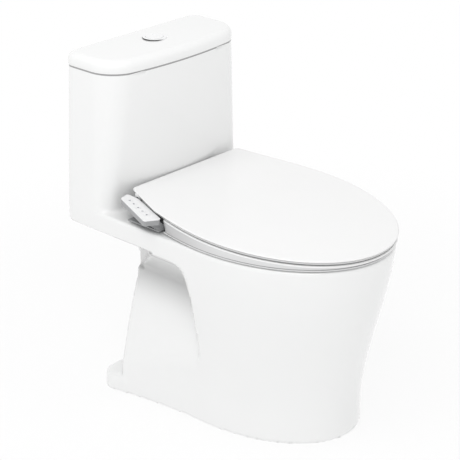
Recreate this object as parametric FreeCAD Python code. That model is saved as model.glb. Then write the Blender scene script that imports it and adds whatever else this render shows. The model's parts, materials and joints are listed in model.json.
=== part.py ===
import FreeCAD, Part
import math
import os
from FreeCAD import Vector

# A floor-standing one-piece bidet toilet, in millimetres.
# The origin is the centre of the floor outlet, +Z is up and the wall is at +Y.

# Glazed ceramic body: heights
RIM_Z = 384.0
DECK_H = 39.0
TANK_H = 274.0
FOOT_H = 36.0
DECK_T = 16.0
TANK_FLOOR_T = 15.0
CERAMIC_WALL = 11.0
SKIRT_WALL = 10.0

# Tank plan
ROUGH_IN = 305.0
WALL_GAP = 18.7
TANK_LID_OVERHANG = 0.8
TANK_FRONT_Y = 152.0
TANK_FRONT_LEAN = 14.0
TANK_HALF_TOP = 178.0
TANK_HALF_DECK = 192.0
TANK_FRONT_BOW_R = 900.0
TANK_FRONT_CORNER_TOP_R = 62.0
TANK_FRONT_CORNER_DECK_R = 38.0
TANK_BACK_CORNER_R = 26.0
TANK_UNDER_R = 22.0

# Bowl skirt: one outline at the floor, one at the rim, and a flare between them
SKIRT_BACK_Y = 152.0
FLOOR_HALF = 156.0
FLOOR_WIDEST_Y = -47.0
FLOOR_FRONT_Y = -287.0
FLOOR_BACK_INSET = 13.0
RIM_INSET = 1.0
RIM_WIDEST_Y = -86.0
RIM_FRONT_Y = -347.0
FLARE_LOW_Z = 45.0
FLARE_END_DROP = 9.0
FLARE_EASE = 2.5
FOOT_BACK_Y = 208.0
FOOT_INSET = 6.0
FOOT_CORNER_R = 38.0
FOOT_LAP = 12.0
SKIRT_LEVELS = (0.0, FLARE_LOW_Z, 110.0, 170.0, 230.0, 290.0, 340.0)

# Side scoop between the skirt and the pedestal
SCOOP_FRONT_Y = -54.0
SCOOP_ARCH_Y = 0.0
SCOOP_ARCH_LOW_DROP = 80.0
SCOOP_DEEP_DROP = 83.0
SCOOP_DEEP_HALF = 120.0
SCOOP_MID_HALF = 154.0
SCOOP_ARCH_HIGH_Y = -50.0
SCOOP_ARCH_LOW_Y = -48.0
RELIEF_FRONT_Y = 48.0
RELIEF_BACK_HALF = 116.0
GUSSET_REACH = 49.0
GUSSET_DROP = 78.0
GUSSET_HALF = 114.0

# Bowl well
WELL_BACK_Y = 70.0
WELL_FRONT_Y = -294.0
WELL_HALF = 133.0
WELL_BOTTOM_Z = 66.0
WELL_BOTTOM_Y = -190.0
WELL_BOTTOM_R = 34.0
WELL_BOTTOM_HALF = 30.0
WELL_REAR_POWER = 1.3
WELL_OPEN_POWER = 0.6
WELL_LEVELS = (0.0, 0.06, 0.14, 0.25, 0.4, 0.55, 0.7, 0.85, 1.0)
BOWL_WALL = 10.0

# Trapway and flush passage
TRAP_R = 24.0
TRAP_WALL = 8.0
TRAP_BEND_R = 38.0
TRAP_CREST_Z = 172.0
TRAP_ENTRY_BACK = 27.0
FLUSH_HOLE_R = 31.0
FLUSH_PASSAGE_R = 22.0
FLUSH_PASSAGE_WALL = 8.0
FLUSH_PASSAGE_FALL = 60.0
FLUSH_PASSAGE_EXIT_Y = -5.0
FLUSH_PASSAGE_OPEN = 15.0
FLUSH_WEB_DROP = 45.0

# Tank lid
TANK_LID_T = 27.0
TANK_LID_EDGE_R = 15.0
TANK_LID_PLATE_T = 13.0
TANK_LID_LIP_T = 6.0
TANK_LID_LIP_DROP = 10.0
LID_FIT_GAP = 2.5
REST_GAP = 0.3

# Flush button in the tank lid
BUTTON_R = 17.1
BUTTON_GAP = 0.4
BUTTON_BEZEL_R = 24.0
BUTTON_BEZEL_T = 2.0
BUTTON_BEZEL_EDGE_R = 1.2
BUTTON_BARREL_R = 20.2
BUTTON_BARREL_BORE_R = 17.5
BUTTON_BARREL_DROP = 45.0
BUTTON_SPLIT_X = 4.0
BUTTON_PROUD = 1.0
BUTTON_T = 12.0
BUTTON_TRAVEL = 6.0
BUTTON_NUT_R = 29.0
BUTTON_NUT_T = 9.0
ROD_R = 2.5
ROD_FULL_X = -7.0
ROD_HALF_X = 10.5
ROD_GUIDE_GAP = 0.3
ROD_GUIDE_WALL = 2.2
ROD_GUIDE_H = 24.0
ROD_END_GAP = 2.0

# Flush valve
GASKET_T = 3.0
VALVE_FLANGE_R = 43.0
VALVE_FLANGE_T = 4.0
VALVE_SEAT_R = 26.0
VALVE_SPIGOT_GAP = 0.4
VALVE_SPIGOT_L = 26.0
SEAL_T = 3.0
SEAL_R = 30.0
CANISTER_FOOT_T = 4.0
OVERFLOW_R = 14.0
OVERFLOW_BORE_R = 12.0
CANISTER_LIFT = 20.0
TOWER_R = 36.0
TOWER_WALL = 2.5
TOWER_WINDOW_H = 63.0
TOWER_DEPTH = 92.0
TOWER_CAP_T = 6.0
TOWER_LEG_R = 3.2
TOWER_LEGS = 4
OVERFLOW_AIR = 5.0
CANISTER_FOOT_INSET = 1.0

# Fill valve
FILL_INSET = 67.0
FILL_BACK = 6.0
SHANK_R = 11.9
SUPPLY_THREAD_R = 10.4
SUPPLY_THREAD_L = 21.0
SHANK_GAP = 0.6
SHANK_BORE_R = 6.0
SHANK_NUT_R = 19.0
SHANK_NUT_T = 12.0
FILL_FLANGE_R = 19.0
FILL_FLANGE_T = 5.0
RISER_R = 9.0
RISER_SPARE = 20.0
FLOAT_R = 27.0
FLOAT_H = 60.0
FLOAT_DEPTH = 188.0
FLOAT_GAP = 0.6
FLOAT_TRAVEL = 40.0
FLOAT_STOP_R = 12.0
FLOAT_STOP_T = 6.0
FILL_CAP_R = 21.0
FILL_CAP_H = 24.0
FILL_EDGE_R = 3.0
REFILL_R = 4.0
REFILL_BORE_R = 2.8
REFILL_BEND_R = 20.0
REFILL_END_X = -25.0

# Floor fixings in the rear foot
FLOOR_BOLT_SPACING = 120.0
FLOOR_BOLT_Y = 172.0
FLOOR_BOLT_R = 4.0
FLOOR_HOLE_R = 6.0
FLOOR_BOLT_HEAD_AF = 13.0
FLOOR_BOLT_HEAD_T = 5.5
FLOOR_WASHER_R = 11.0
FLOOR_WASHER_T = 2.0
FLOOR_CAP_R = 14.0
FLOOR_CAP_H = 14.0
FLOOR_CAP_WALL = 1.8
FLOOR_CAP_ROOF_T = 5.4
FLOOR_CAP_EDGE_R = 5.6
FLOOR_BOLT_LOW_Z = 1.0
SEAL_RING_W = 17.0
SEAL_RING_H = 18.0

# Seat and lid outline
LID_TANK_GAP = 6.0
LID_BACK_RISE = 50.0
LID_FRONT_OVERHANG = 5.0
LID_FRONT_DROP = 27.0
LID_OVERHANG = 4.5
LID_BACK_HALF = 157.5
LID_BACK_LEAN = 0.18
LID_EDGE_T = 7.0
LID_SKIN_T = 3.0
LID_RIM_W = 6.0
LID_EDGE_R = 3.0
LID_CORNER_R = 9.0
NOTCH_L = 101.0
NOTCH_IN = 17.5
NOTCH_BEND_R = 150.0
SEAT_INSET = 2.0
SEAT_LID_GAP = 4.5
SEAT_BUMPER_H = 3.0
SEAT_BACK_Y = 26.0
SEAT_HOLE_HALF = 104.0
SEAT_HOLE_BACK_Y = -15.0
SEAT_HOLE_FRONT_Y = -285.0
SEAT_PLATE_T = 2.0
SEAT_SHELL_T = 3.0
BUMPER_R = 7.0
SEAT_BUMPER_PLACES = ((150.0, -20.0), (100.0, -270.0))
LID_BUMPER_PLACE = (130.0, -200.0)

# Hinge line of lid and seat
HINGE_INSET = 27.0
HINGE_RISE = 36.5
PIN_R = 4.0
PIN_FIT = 0.06
PIN_HELD_L = 14.0
PIN_END_GAP = 1.0
ARM_T = 14.0
ARM_GAP = 2.0
SEAT_ARM_R = 6.5
SEAT_ARM_RISE = 13.0
LID_ARM_R = 7.5

# Rear unit
UNIT_HALF = 118.0
UNIT_SEAT_GAP = 2.0
UNIT_HINGE_INSET = 2.0
UNIT_H = 31.0
UNIT_BARREL_R = 8.2
UNIT_WALL = 2.0
UNIT_FLOOR_T = 2.0
UNIT_TRAY_H = 15.0
WING_INSET = 6.0
POD_W = 18.0
POD_L = 50.0
POD_INSET = 1.0
POD_ROOF_H = 12.0
PLATE_T = 5.0
PLATE_HALF = 95.0
PLATE_W = 28.0
PLATE_INSET = 3.0
SEAT_BOLT_SPACING = 140.0
SEAT_BOLT_R = 3.0
SEAT_BOLT_L = 41.0
SEAT_BOLT_HEAD_R = 6.8
SEAT_BOLT_HEAD_T = 2.8
SEAT_HOLE_R = 7.0
ANCHOR_BULGE_R = 9.5
ANCHOR_L = 34.0
FIT_GAP = 0.1
DAMPER_L = 45.0
INLET_THREAD_R = 10.4
INLET_THREAD_L = 16.0
INLET_COLLAR_R = 10.9
INLET_COLLAR_L = 4.0
INLET_BORE_R = 5.0
INLET_RISE = 11.0
INLET_INSET = 18.0
GLAND_INSET = 10.0
GLAND_R = 5.5
GLAND_L = 9.0
GLAND_BORE_R = 3.2

# Water parts inside the rear unit
NOZZLE_SLOPE = 28.0
NOZZLE_REF_INSET = 42.0
NOZZLE_RISE = 5.5
NOZZLE_R = 5.5
NOZZLE_BORE_R = 2.2
NOZZLE_FIT = 0.3
NOZZLE_PITCH = 16.0
NOZZLE_L = 72.0
NOZZLE_TIP_INSET = 8.0
NOZZLE_TIP_R = 4.4
NOZZLE_JET_PITCH = 2.4
NOZZLE_JET_R = 0.8
NOZZLE_JETS = 3
GUIDE_INSET = 12.0
GUIDE_L = 52.0
GUIDE_HALF_W = 18.0
GUIDE_HALF_H = 8.0
GUIDE_SLOT_GAP = 1.0
GUIDE_SLOT_RISE = 12.0
GUIDE_EDGE_R = 4.8
HEATER_W = 72.0
HEATER_L = 60.0
HEATER_H = 22.0
VALVE_W = 64.0
VALVE_L = 56.0
VALVE_H = 20.0
MODULE_SIDE_INSET = 14.0
MODULE_BACK_INSET = 13.0
MODULE_EDGE_R = 4.0

# Control panel beside the lid
PANEL_DROP = 8.5
PANEL_LID_GAP = 1.2
PANEL_BEND_INSET = 6.5
PANEL_BACK_INSET = 3.4
PANEL_L = 122.6
PANEL_BACK_W = 22.4
PANEL_BACK_SKEW = 5.2
PANEL_FRONT_W = 29.5
PANEL_FRONT_SKEW = 16.0
NECK_LOW_OUT = ((2.0, 34.0), (18.0, 36.0), (34.0, 116.5), (8.0, 116.5))
NECK_HIGH_OFF = ((-3.0, -27.0), (-4.0, -22.0), (8.0, 5.0), (0.0, 9.5))
NECK_TOP_DROP = 1.5
PANEL_DEPTH = 12.0
PANEL_WALL = 2.2
PANEL_FACE_T = 2.0
PANEL_CORNER_R = 5.0
PANEL_FACE_EDGE_R = 1.0
KEY_R = 5.7
KEY_GAP = 0.3
KEY_FLANGE_R = 6.4
KEY_FLANGE_T = 0.8
KEY_PROUD = 0.4
KEY_EDGE_R = 0.36
KEY_TRAVEL = 0.8
KEY_PITCH = 17.5
KEY_NAMES = ("key_less", "key_front_wash", "key_stop", "key_rear_wash", "key_more")
BOARD_T = 1.6
BOARD_EDGE_GAP = 0.5

# Worked-out places
TANK_BACK_Y = ROUGH_IN - WALL_GAP - TANK_LID_OVERHANG
DECK_UNDER_Z = RIM_Z - DECK_H
TANK_JOINT_Z = RIM_Z + TANK_H
TANK_FLOOR_Z = DECK_UNDER_Z + TANK_FLOOR_T
RIM_HALF = TANK_HALF_DECK - RIM_INSET
FLOOR_BACK_HALF = TANK_HALF_DECK - FLOOR_BACK_INSET
FOOT_HALF = TANK_HALF_DECK - FOOT_INSET
FILL_X = FILL_INSET - TANK_HALF_DECK
FLARE_HIGH_Z = RIM_Z - FLARE_END_DROP
SCOOP_ARCH_Z = DECK_UNDER_Z - SCOOP_ARCH_LOW_DROP
SCOOP_DEEP_Z = DECK_UNDER_Z - SCOOP_DEEP_DROP
FLUSH_PASSAGE_EXIT_Z = DECK_UNDER_Z - FLUSH_PASSAGE_FALL
TOWER_TOP_Z = TANK_JOINT_Z - TOWER_DEPTH
FLOAT_LOW_Z = TANK_JOINT_Z - FLOAT_DEPTH
BUTTON_Y = 0.5 * (TANK_FRONT_Y + TANK_BACK_Y)
FILL_Y = BUTTON_Y + FILL_BACK
TANK_LID_LOW_Z = TANK_JOINT_Z + REST_GAP
TANK_LID_TOP_Z = TANK_JOINT_Z + TANK_LID_T
LID_BACK_Y = TANK_FRONT_Y - LID_TANK_GAP
LID_BACK_Z = RIM_Z + LID_BACK_RISE
LID_FRONT_Y = RIM_FRONT_Y - LID_FRONT_OVERHANG
LID_HALF = RIM_HALF + LID_OVERHANG
LID_WIDEST_Y = RIM_WIDEST_Y
HINGE_Y = LID_BACK_Y - HINGE_INSET
HINGE_Z = RIM_Z + HINGE_RISE
SEAT_LOW_Z = RIM_Z + SEAT_BUMPER_H
SEAT_ARM_LOW_Z = SEAT_LOW_Z + SEAT_ARM_RISE
SEAT_DROP = LID_EDGE_T + SEAT_LID_GAP
LID_TILT = math.degrees(math.atan2(LID_FRONT_DROP, LID_BACK_Y - LID_FRONT_Y))
UNIT_LOW_Z = RIM_Z + PLATE_T
UNIT_FLOOR_Z = UNIT_LOW_Z + UNIT_FLOOR_T
UNIT_TOP_Z = UNIT_LOW_Z + UNIT_H
UNIT_SPLIT_Z = UNIT_LOW_Z + UNIT_TRAY_H
UNIT_FRONT_Y = SEAT_BACK_Y + UNIT_SEAT_GAP
UNIT_BACK_Y = HINGE_Y - UNIT_HINGE_INSET
WING_FRONT_Y = UNIT_FRONT_Y + WING_INSET
PLATE_BACK_Y = UNIT_BACK_Y - PLATE_INSET
PLATE_FRONT_Y = PLATE_BACK_Y - PLATE_W
SEAT_BOLT_Y = 0.5 * (PLATE_FRONT_Y + PLATE_BACK_Y)
SEAT_ARM_X = UNIT_HALF + ARM_GAP
LID_ARM_X = SEAT_ARM_X + ARM_T + ARM_GAP
PIN_END_X = LID_ARM_X + ARM_T + PIN_END_GAP
WING_HALF = LID_ARM_X + ARM_T
POD_IN_X = PIN_END_X + PIN_END_GAP
POD_OUT_X = POD_IN_X + POD_W
POD_BACK_Y = UNIT_BACK_Y - POD_INSET
POD_FRONT_Y = POD_BACK_Y - POD_L
INLET_Z = UNIT_LOW_Z + INLET_RISE
INLET_Y = POD_FRONT_Y + INLET_INSET
GLAND_Y = POD_BACK_Y - GLAND_INSET
POD_TOP_Z = INLET_Z + POD_ROOF_H
NOZZLE_REF_Y = UNIT_FRONT_Y + NOZZLE_REF_INSET
NOZZLE_REF_Z = UNIT_LOW_Z + NOZZLE_RISE
NOZZLE_TIP_Y = UNIT_FRONT_Y + NOZZLE_TIP_INSET
GUIDE_FRONT_Y = UNIT_FRONT_Y + GUIDE_INSET
GUIDE_BACK_Y = GUIDE_FRONT_Y + GUIDE_L
MODULE_BACK_Y = UNIT_BACK_Y - MODULE_BACK_INSET
MODULE_HALF = UNIT_HALF - MODULE_SIDE_INSET
HEATER_BOX = (-MODULE_HALF, HEATER_W - MODULE_HALF, MODULE_BACK_Y - HEATER_L, MODULE_BACK_Y, HEATER_H)
VALVE_BOX = (MODULE_HALF - VALVE_W, MODULE_HALF, MODULE_BACK_Y - VALVE_L, MODULE_BACK_Y, VALVE_H)
PANEL_TOP_Z = LID_BACK_Z - PANEL_DROP
PANEL_FACE_Z = PANEL_TOP_Z - PANEL_FACE_T
PANEL_LOW_Z = PANEL_TOP_Z - PANEL_DEPTH
NECK_TOP_Z = PANEL_LOW_Z - NECK_TOP_DROP
RISER_TOP_Z = FLOAT_LOW_Z + FLOAT_H + FLOAT_TRAVEL + RISER_SPARE
BOTH_SIDES = (-1, 1)
BIG = 900.0
X_AXIS = Vector(1, 0, 0)
Y_AXIS = Vector(0, 1, 0)
Z_AXIS = Vector(0, 0, 1)


def box(x0, x1, y0, y1, z0, z1):
    return Part.makeBox(x1 - x0, y1 - y0, z1 - z0, Vector(x0, y0, z0))


def upright(r, x, y, z0, z1):
    return Part.makeCylinder(r, z1 - z0, Vector(x, y, z0), Z_AXIS)


def upright_ring(r_out, r_in, x, y, z0, z1):
    return upright(r_out, x, y, z0, z1).cut(upright(r_in, x, y, z0, z1))


def crosswise(r, x0, x1, y, z):
    return Part.makeCylinder(r, x1 - x0, Vector(x0, y, z), X_AXIS)


def joined(shapes):
    whole = shapes[0].multiFuse(list(shapes[1:])) if len(shapes) > 1 else shapes[0]
    return whole.removeSplitter()


def mirrored(shape):
    return shape.mirror(Vector(0, 0, 0), X_AXIS)


def polygon_prism(points, direction):
    return Part.Face(Part.makePolygon(list(points) + [points[0]])).extrude(direction)


def rounded(shape, radius, keep):
    edges = [edge for edge in shape.Edges if keep(edge)]
    return shape.makeFillet(radius, edges) if edges else shape


def at_height(edge, z):
    return all(abs(v.Z - z) < 0.01 for v in edge.Vertexes) and abs(edge.BoundBox.ZLength) < 0.01


def tilted(shape):
    turned = shape.copy()
    turned.rotate(Vector(0, LID_BACK_Y, LID_BACK_Z), X_AXIS, LID_TILT)
    return turned


def save(node, shape):
    solids = shape.Solids
    whole = Part.makeCompound(solids) if len(solids) > 1 else solids[0]
    whole.exportStep("parts/" + node + ".step")
    state = "ok" if all(s.isValid() for s in solids) else "INVALID"
    print(node, len(solids), "solid,", round(sum(s.Volume for s in solids) / 1000.0, 1), "cm3", state)


# Outlines of the ceramic body

def tank_wire(z, inset):
    """D-shaped tank outline: flat back, round corners and a bowed front; sides and front lean with height."""
    rise = (z - RIM_Z) / (TANK_JOINT_Z - RIM_Z)
    half = mix(TANK_HALF_DECK, TANK_HALF_TOP, rise) - inset
    back = TANK_BACK_Y - inset
    front = TANK_FRONT_Y - TANK_FRONT_LEAN * rise + inset
    bow = TANK_FRONT_BOW_R - inset
    r_front = mix(TANK_FRONT_CORNER_DECK_R, TANK_FRONT_CORNER_TOP_R, rise) - inset
    r_back = TANK_BACK_CORNER_R - inset
    bow_y = front + bow
    corner_y = bow_y - math.sqrt((bow - r_front) ** 2 - (half - r_front) ** 2)
    lean = math.atan2(half - r_front, bow_y - corner_y)
    meet_x = bow * math.sin(lean)
    meet_y = bow_y - bow * math.cos(lean)
    half_lean = 0.5 * (lean + 0.5 * math.pi)

    def p(x, y):
        return Vector(x, y, z)

    def front_corner(s):
        mid_x = half - r_front + r_front * math.sin(half_lean)
        mid_y = corner_y - r_front * math.cos(half_lean)
        return Part.Arc(p(s * half, corner_y), p(s * mid_x, mid_y), p(s * meet_x, meet_y))

    def back_corner(s):
        k = r_back * math.sqrt(0.5)
        return Part.Arc(p(s * (half - r_back), back), p(s * (half - r_back + k), back - r_back + k),
                        p(s * half, back - r_back))

    edges = [
        Part.LineSegment(p(-half + r_back, back), p(half - r_back, back)),
        back_corner(1),
        Part.LineSegment(p(half, back - r_back), p(half, corner_y)),
        front_corner(1),
        Part.Arc(p(meet_x, meet_y), p(0, front), p(-meet_x, meet_y)),
        front_corner(-1),
        Part.LineSegment(p(-half, corner_y), p(-half, back - r_back)),
        back_corner(-1),
    ]
    return Part.Wire(Part.__sortEdges__([e.toShape() for e in edges]))


def tank_solid(z0, z1, inset):
    return Part.makeLoft([tank_wire(z0, inset), tank_wire(z1, inset)], True, True)


def flare(z):
    u = min(1.0, max(0.0, (z - FLARE_LOW_Z) / (FLARE_HIGH_Z - FLARE_LOW_Z)))
    return u * u * (FLARE_EASE - (FLARE_EASE - 1.0) * u)


def mix(low, high, part):
    return low + (high - low) * part


def round_front_wire(z, half, widest, front, back_half, back, lean):
    """Half ellipse in front of the widest line, a smooth side behind it and a straight back."""
    ellipse = Part.Ellipse(Vector(0, widest, z), widest - front, half)
    ellipse.XAxis = Vector(0, -1, 0)
    nose = Part.ArcOfEllipse(ellipse, -0.5 * math.pi, 0.5 * math.pi).toShape()
    reach = (back - widest) / 3.0

    def side(sign):
        curve = Part.BezierCurve()
        curve.setPoles([Vector(sign * half, widest, z), Vector(sign * half, widest + reach, z),
                        Vector(sign * (back_half + lean * reach), back - reach, z),
                        Vector(sign * back_half, back, z)])
        return curve.toShape()

    rear = Part.LineSegment(Vector(back_half, back, z), Vector(-back_half, back, z)).toShape()
    return Part.Wire(Part.__sortEdges__([nose, side(1), rear, side(-1)]))


def skirt_wire(z, inset):
    """Skirt outline at a height, between its floor and rim sizes."""
    s = flare(z)
    half = mix(FLOOR_HALF, RIM_HALF, s) - inset
    widest = mix(FLOOR_WIDEST_Y, RIM_WIDEST_Y, s)
    back_half = mix(FLOOR_BACK_HALF, TANK_HALF_DECK, s) - inset
    back = SKIRT_BACK_Y - inset
    lean = 1.5 * (half - back_half) / (back - widest)
    front = mix(FLOOR_FRONT_Y, RIM_FRONT_Y, s) + inset
    return round_front_wire(z, half, widest, front, back_half, back, lean)


def skirt_solid(z0, z1, inset):
    heights = [z0] + [z for z in SKIRT_LEVELS if z0 + 5.0 < z < z1 - 5.0] + [z1]
    return Part.makeLoft([skirt_wire(z, inset) for z in heights], True, False)


def scoop_cutter():
    """Hollow in the left side: an arch seen from the side, a leaning wall seen from the back."""
    mid_z = 0.5 * (FOOT_H + SCOOP_DEEP_Z)
    wall = Part.Arc(Vector(-FLOOR_BACK_HALF, 0, FOOT_H), Vector(-SCOOP_MID_HALF, 0, mid_z),
                    Vector(-SCOOP_DEEP_HALF, 0, SCOOP_DEEP_Z)).toShape()
    roof = [Vector(-SCOOP_DEEP_HALF, 0, SCOOP_DEEP_Z), Vector(-RIM_HALF, 0, DECK_UNDER_Z),
            Vector(-2 * RIM_HALF, 0, DECK_UNDER_Z), Vector(-2 * RIM_HALF, 0, FOOT_H),
            Vector(-FLOOR_BACK_HALF, 0, FOOT_H)]
    across = Part.Face(Part.Wire(Part.__sortEdges__([wall] + Part.makePolygon(roof).Edges)))
    across.translate(Vector(0, SCOOP_FRONT_Y - BIG / 4, 0))
    leaning = across.extrude(Vector(0, BIG, 0))
    arch = Part.BezierCurve()
    arch.setPoles([Vector(0, SCOOP_ARCH_Y, DECK_UNDER_Z),
                   Vector(0, SCOOP_ARCH_HIGH_Y, DECK_UNDER_Z),
                   Vector(0, SCOOP_ARCH_LOW_Y, SCOOP_ARCH_Z), Vector(0, SCOOP_FRONT_Y, FOOT_H)])
    outside = [Vector(0, SCOOP_FRONT_Y, FOOT_H), Vector(0, BIG / 2, FOOT_H), Vector(0, BIG / 2, DECK_UNDER_Z),
               Vector(0, SCOOP_ARCH_Y, DECK_UNDER_Z)]
    profile = Part.Face(Part.Wire(Part.__sortEdges__([arch.toShape()] + Part.makePolygon(outside).Edges)))
    arched = profile.extrude(Vector(-3 * RIM_HALF, 0, 0))
    return leaning.common(arched)


def relief_cutter(grow):
    """Space under the deck behind the scoop's roof, outside a slanting upright plane."""
    run = Vector(RIM_HALF - RELIEF_BACK_HALF, SKIRT_BACK_Y - RELIEF_FRONT_Y, 0)
    low, high = SCOOP_DEEP_Z - grow, DECK_UNDER_Z + grow
    start = Vector(grow * run.Length / run.y - RIM_HALF, RELIEF_FRONT_Y, low)
    first, last = start - run * 0.5, start + run * 1.5
    points = [first, last, Vector(-3 * RIM_HALF, last.y, low), Vector(-3 * RIM_HALF, first.y, low)]
    return polygon_prism(points, Vector(0, 0, high - low))


def slab_solid(half, back, corner_r, front_half, front, z0, z1):
    """Flat slab with two round back corners."""
    k = corner_r * (1.0 - math.sqrt(0.5))

    def p(x, y):
        return Vector(x, y, z0)

    edges = [Part.LineSegment(p(corner_r - half, back), p(half - corner_r, back)).toShape(),
             Part.LineSegment(p(-front_half, front), p(front_half, front)).toShape()]
    for s in BOTH_SIDES:
        edges.append(Part.Arc(p(s * (half - corner_r), back), p(s * (half - k), back - k),
                              p(s * half, back - corner_r)).toShape())
        edges.append(Part.LineSegment(p(s * half, back - corner_r), p(s * front_half, front)).toShape())
    return Part.Face(Part.Wire(Part.__sortEdges__(edges))).extrude(Vector(0, 0, z1 - z0))


def foot_solid():
    return slab_solid(FOOT_HALF, FOOT_BACK_Y, FOOT_CORNER_R, FLOOR_BACK_HALF - 1.0, SKIRT_BACK_Y - FOOT_LAP,
                      0.0, FOOT_H)


def rear_deck():
    """Deck under the tank, with a round lower back edge seen from the side."""
    slab = slab_solid(TANK_HALF_DECK, TANK_BACK_Y, TANK_BACK_CORNER_R, TANK_HALF_DECK, SKIRT_BACK_Y,
                      DECK_UNDER_Z, RIM_Z)
    k = TANK_UNDER_R * (1.0 - math.sqrt(0.5))
    low = Vector(0, TANK_BACK_Y - TANK_UNDER_R, DECK_UNDER_Z)
    high = Vector(0, TANK_BACK_Y, DECK_UNDER_Z + TANK_UNDER_R)
    turn = Part.Arc(low, Vector(0, TANK_BACK_Y - k, DECK_UNDER_Z + k), high).toShape()
    rest = Part.makePolygon([high, Vector(0, TANK_BACK_Y, RIM_Z), Vector(0, SKIRT_BACK_Y, RIM_Z),
                             Vector(0, SKIRT_BACK_Y, DECK_UNDER_Z), low])
    side = Part.Face(Part.Wire(Part.__sortEdges__([turn] + rest.Edges)))
    side.translate(Vector(-RIM_HALF, 0, 0))
    return slab.common(side.extrude(Vector(2 * RIM_HALF, 0, 0)))


def well_ellipse(z, grow):
    """Bowl section: steep at the back above the sump, wide open at the front and sides."""
    u = (z - WELL_BOTTOM_Z) / (RIM_Z - WELL_BOTTOM_Z)
    steep = u ** WELL_REAR_POWER
    rear = mix(WELL_BOTTOM_Y + WELL_BOTTOM_R, WELL_BACK_Y, steep * steep * (3.0 - 2.0 * steep))
    front = mix(WELL_BOTTOM_Y - WELL_BOTTOM_R, WELL_FRONT_Y, u ** WELL_OPEN_POWER)
    half = mix(WELL_BOTTOM_HALF, WELL_HALF, u ** WELL_OPEN_POWER) + grow
    centre = Vector(0, 0.5 * (rear + front), z)
    long_r = 0.5 * (rear - front) + grow
    ellipse = Part.Ellipse(centre, max(long_r, half), min(long_r, half))
    ellipse.XAxis = Y_AXIS if long_r > half else X_AXIS
    curve = ellipse.toShape() if long_r > half else Part.Ellipse(centre, half, long_r).toShape()
    return Part.Wire([curve])


def well_solid(grow, top):
    span = RIM_Z - WELL_BOTTOM_Z
    body = Part.makeLoft([well_ellipse(WELL_BOTTOM_Z + span * f, grow) for f in WELL_LEVELS], True, False)
    if grow > 0:
        base = Part.Face(well_ellipse(WELL_BOTTOM_Z, grow)).extrude(Vector(0, 0, -grow))
        return body.fuse(base)
    mouth = Part.Face(well_ellipse(RIM_Z, grow)).extrude(Vector(0, 0, top - RIM_Z))
    return body.fuse(mouth)


def trap_tube(r, low, lead):
    """Trapway: rises from the sump, turns over the weir and falls to the floor outlet."""
    k = math.sqrt(0.5)
    centre_z = TRAP_CREST_Z - TRAP_BEND_R
    bend_start = Vector(0, -TRAP_BEND_R * (1.0 + k), centre_z + TRAP_BEND_R * k)
    bend_mid_a = math.radians(67.5)
    bend_mid = Vector(0, -TRAP_BEND_R + TRAP_BEND_R * math.cos(bend_mid_a),
                      centre_z + TRAP_BEND_R * math.sin(bend_mid_a))
    entry_l = (bend_start.y - WELL_BOTTOM_Y) / k - TRAP_ENTRY_BACK + lead
    entry = bend_start - Vector(0, k, k) * entry_l
    path = Part.Wire([
        Part.LineSegment(entry, bend_start).toShape(),
        Part.Arc(bend_start, bend_mid, Vector(0, 0, centre_z)).toShape(),
        Part.LineSegment(Vector(0, 0, centre_z), Vector(0, 0, low)).toShape(),
    ])
    circle = Part.Wire([Part.makeCircle(r, entry, Vector(0, k, k))])
    return path.makePipeShell([circle], True, False)


def flush_passage(r, extra):
    start = Vector(0, BUTTON_Y + 0.3 * FLUSH_HOLE_R, DECK_UNDER_Z - FLUSH_PASSAGE_R)
    end = Vector(0, FLUSH_PASSAGE_EXIT_Y, FLUSH_PASSAGE_EXIT_Z)
    run = end - start
    return Part.makeCylinder(r, run.Length + extra, start, run)


def flush_housing():
    """Web under the deck that carries the flush passage forward to the bowl."""
    half = FLUSH_HOLE_R + FLUSH_PASSAGE_WALL
    back = BUTTON_Y + FLUSH_HOLE_R + FLUSH_PASSAGE_WALL
    low = DECK_UNDER_Z - 2 * FLUSH_PASSAGE_R - FLUSH_PASSAGE_WALL
    points = [Vector(-half, back, DECK_UNDER_Z + 1), Vector(-half, back, low),
              Vector(-half, SKIRT_BACK_Y - 1, low - FLUSH_WEB_DROP),
              Vector(-half, SKIRT_BACK_Y - 1, DECK_UNDER_Z + 1)]
    return polygon_prism(points, Vector(2 * half, 0, 0))


def rear_gusset():
    """Sloping wall that runs from the deck's underside down to the pedestal's back."""
    points = [Vector(-GUSSET_HALF, SKIRT_BACK_Y + GUSSET_REACH, DECK_UNDER_Z + 1),
              Vector(-GUSSET_HALF, SKIRT_BACK_Y - 1, DECK_UNDER_Z - GUSSET_DROP),
              Vector(-GUSSET_HALF, SKIRT_BACK_Y - 1, DECK_UNDER_Z + 1)]
    return polygon_prism(points, Vector(2 * GUSSET_HALF, 0, 0))


def skirt_void():
    """Open hollow inside the skirt and pedestal, one ceramic wall in from every face."""
    roof = RIM_Z - DECK_T
    split_y = SCOOP_FRONT_Y - SKIRT_WALL
    inside = skirt_solid(-1.0, roof, SKIRT_WALL)
    front = box(-BIG, BIG, -BIG, split_y, -BIG, BIG)
    w = SKIRT_WALL
    low_half = FLOOR_HALF - w
    mid_z = 0.5 * (FOOT_H + SCOOP_DEEP_Z)
    half_points = [(low_half, -1.0), (low_half, FOOT_H), (SCOOP_MID_HALF - w, mid_z),
                   (SCOOP_DEEP_HALF - w, SCOOP_DEEP_Z - w), (SCOOP_DEEP_HALF - w, SCOOP_DEEP_Z + w),
                   (RIM_HALF - 2 * w, DECK_UNDER_Z + w), (RIM_HALF - 2 * w, roof)]
    ring = [Vector(x, split_y - 2.0, z) for x, z in half_points]
    ring += [Vector(-x, split_y - 2.0, z) for x, z in reversed(half_points)]
    rear = polygon_prism(ring, Vector(0, SKIRT_BACK_Y - w - split_y + 2.0, 0))
    return inside.common(front.fuse(rear))


def bolt_places(spacing):
    return [s * 0.5 * spacing for s in BOTH_SIDES]


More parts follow.
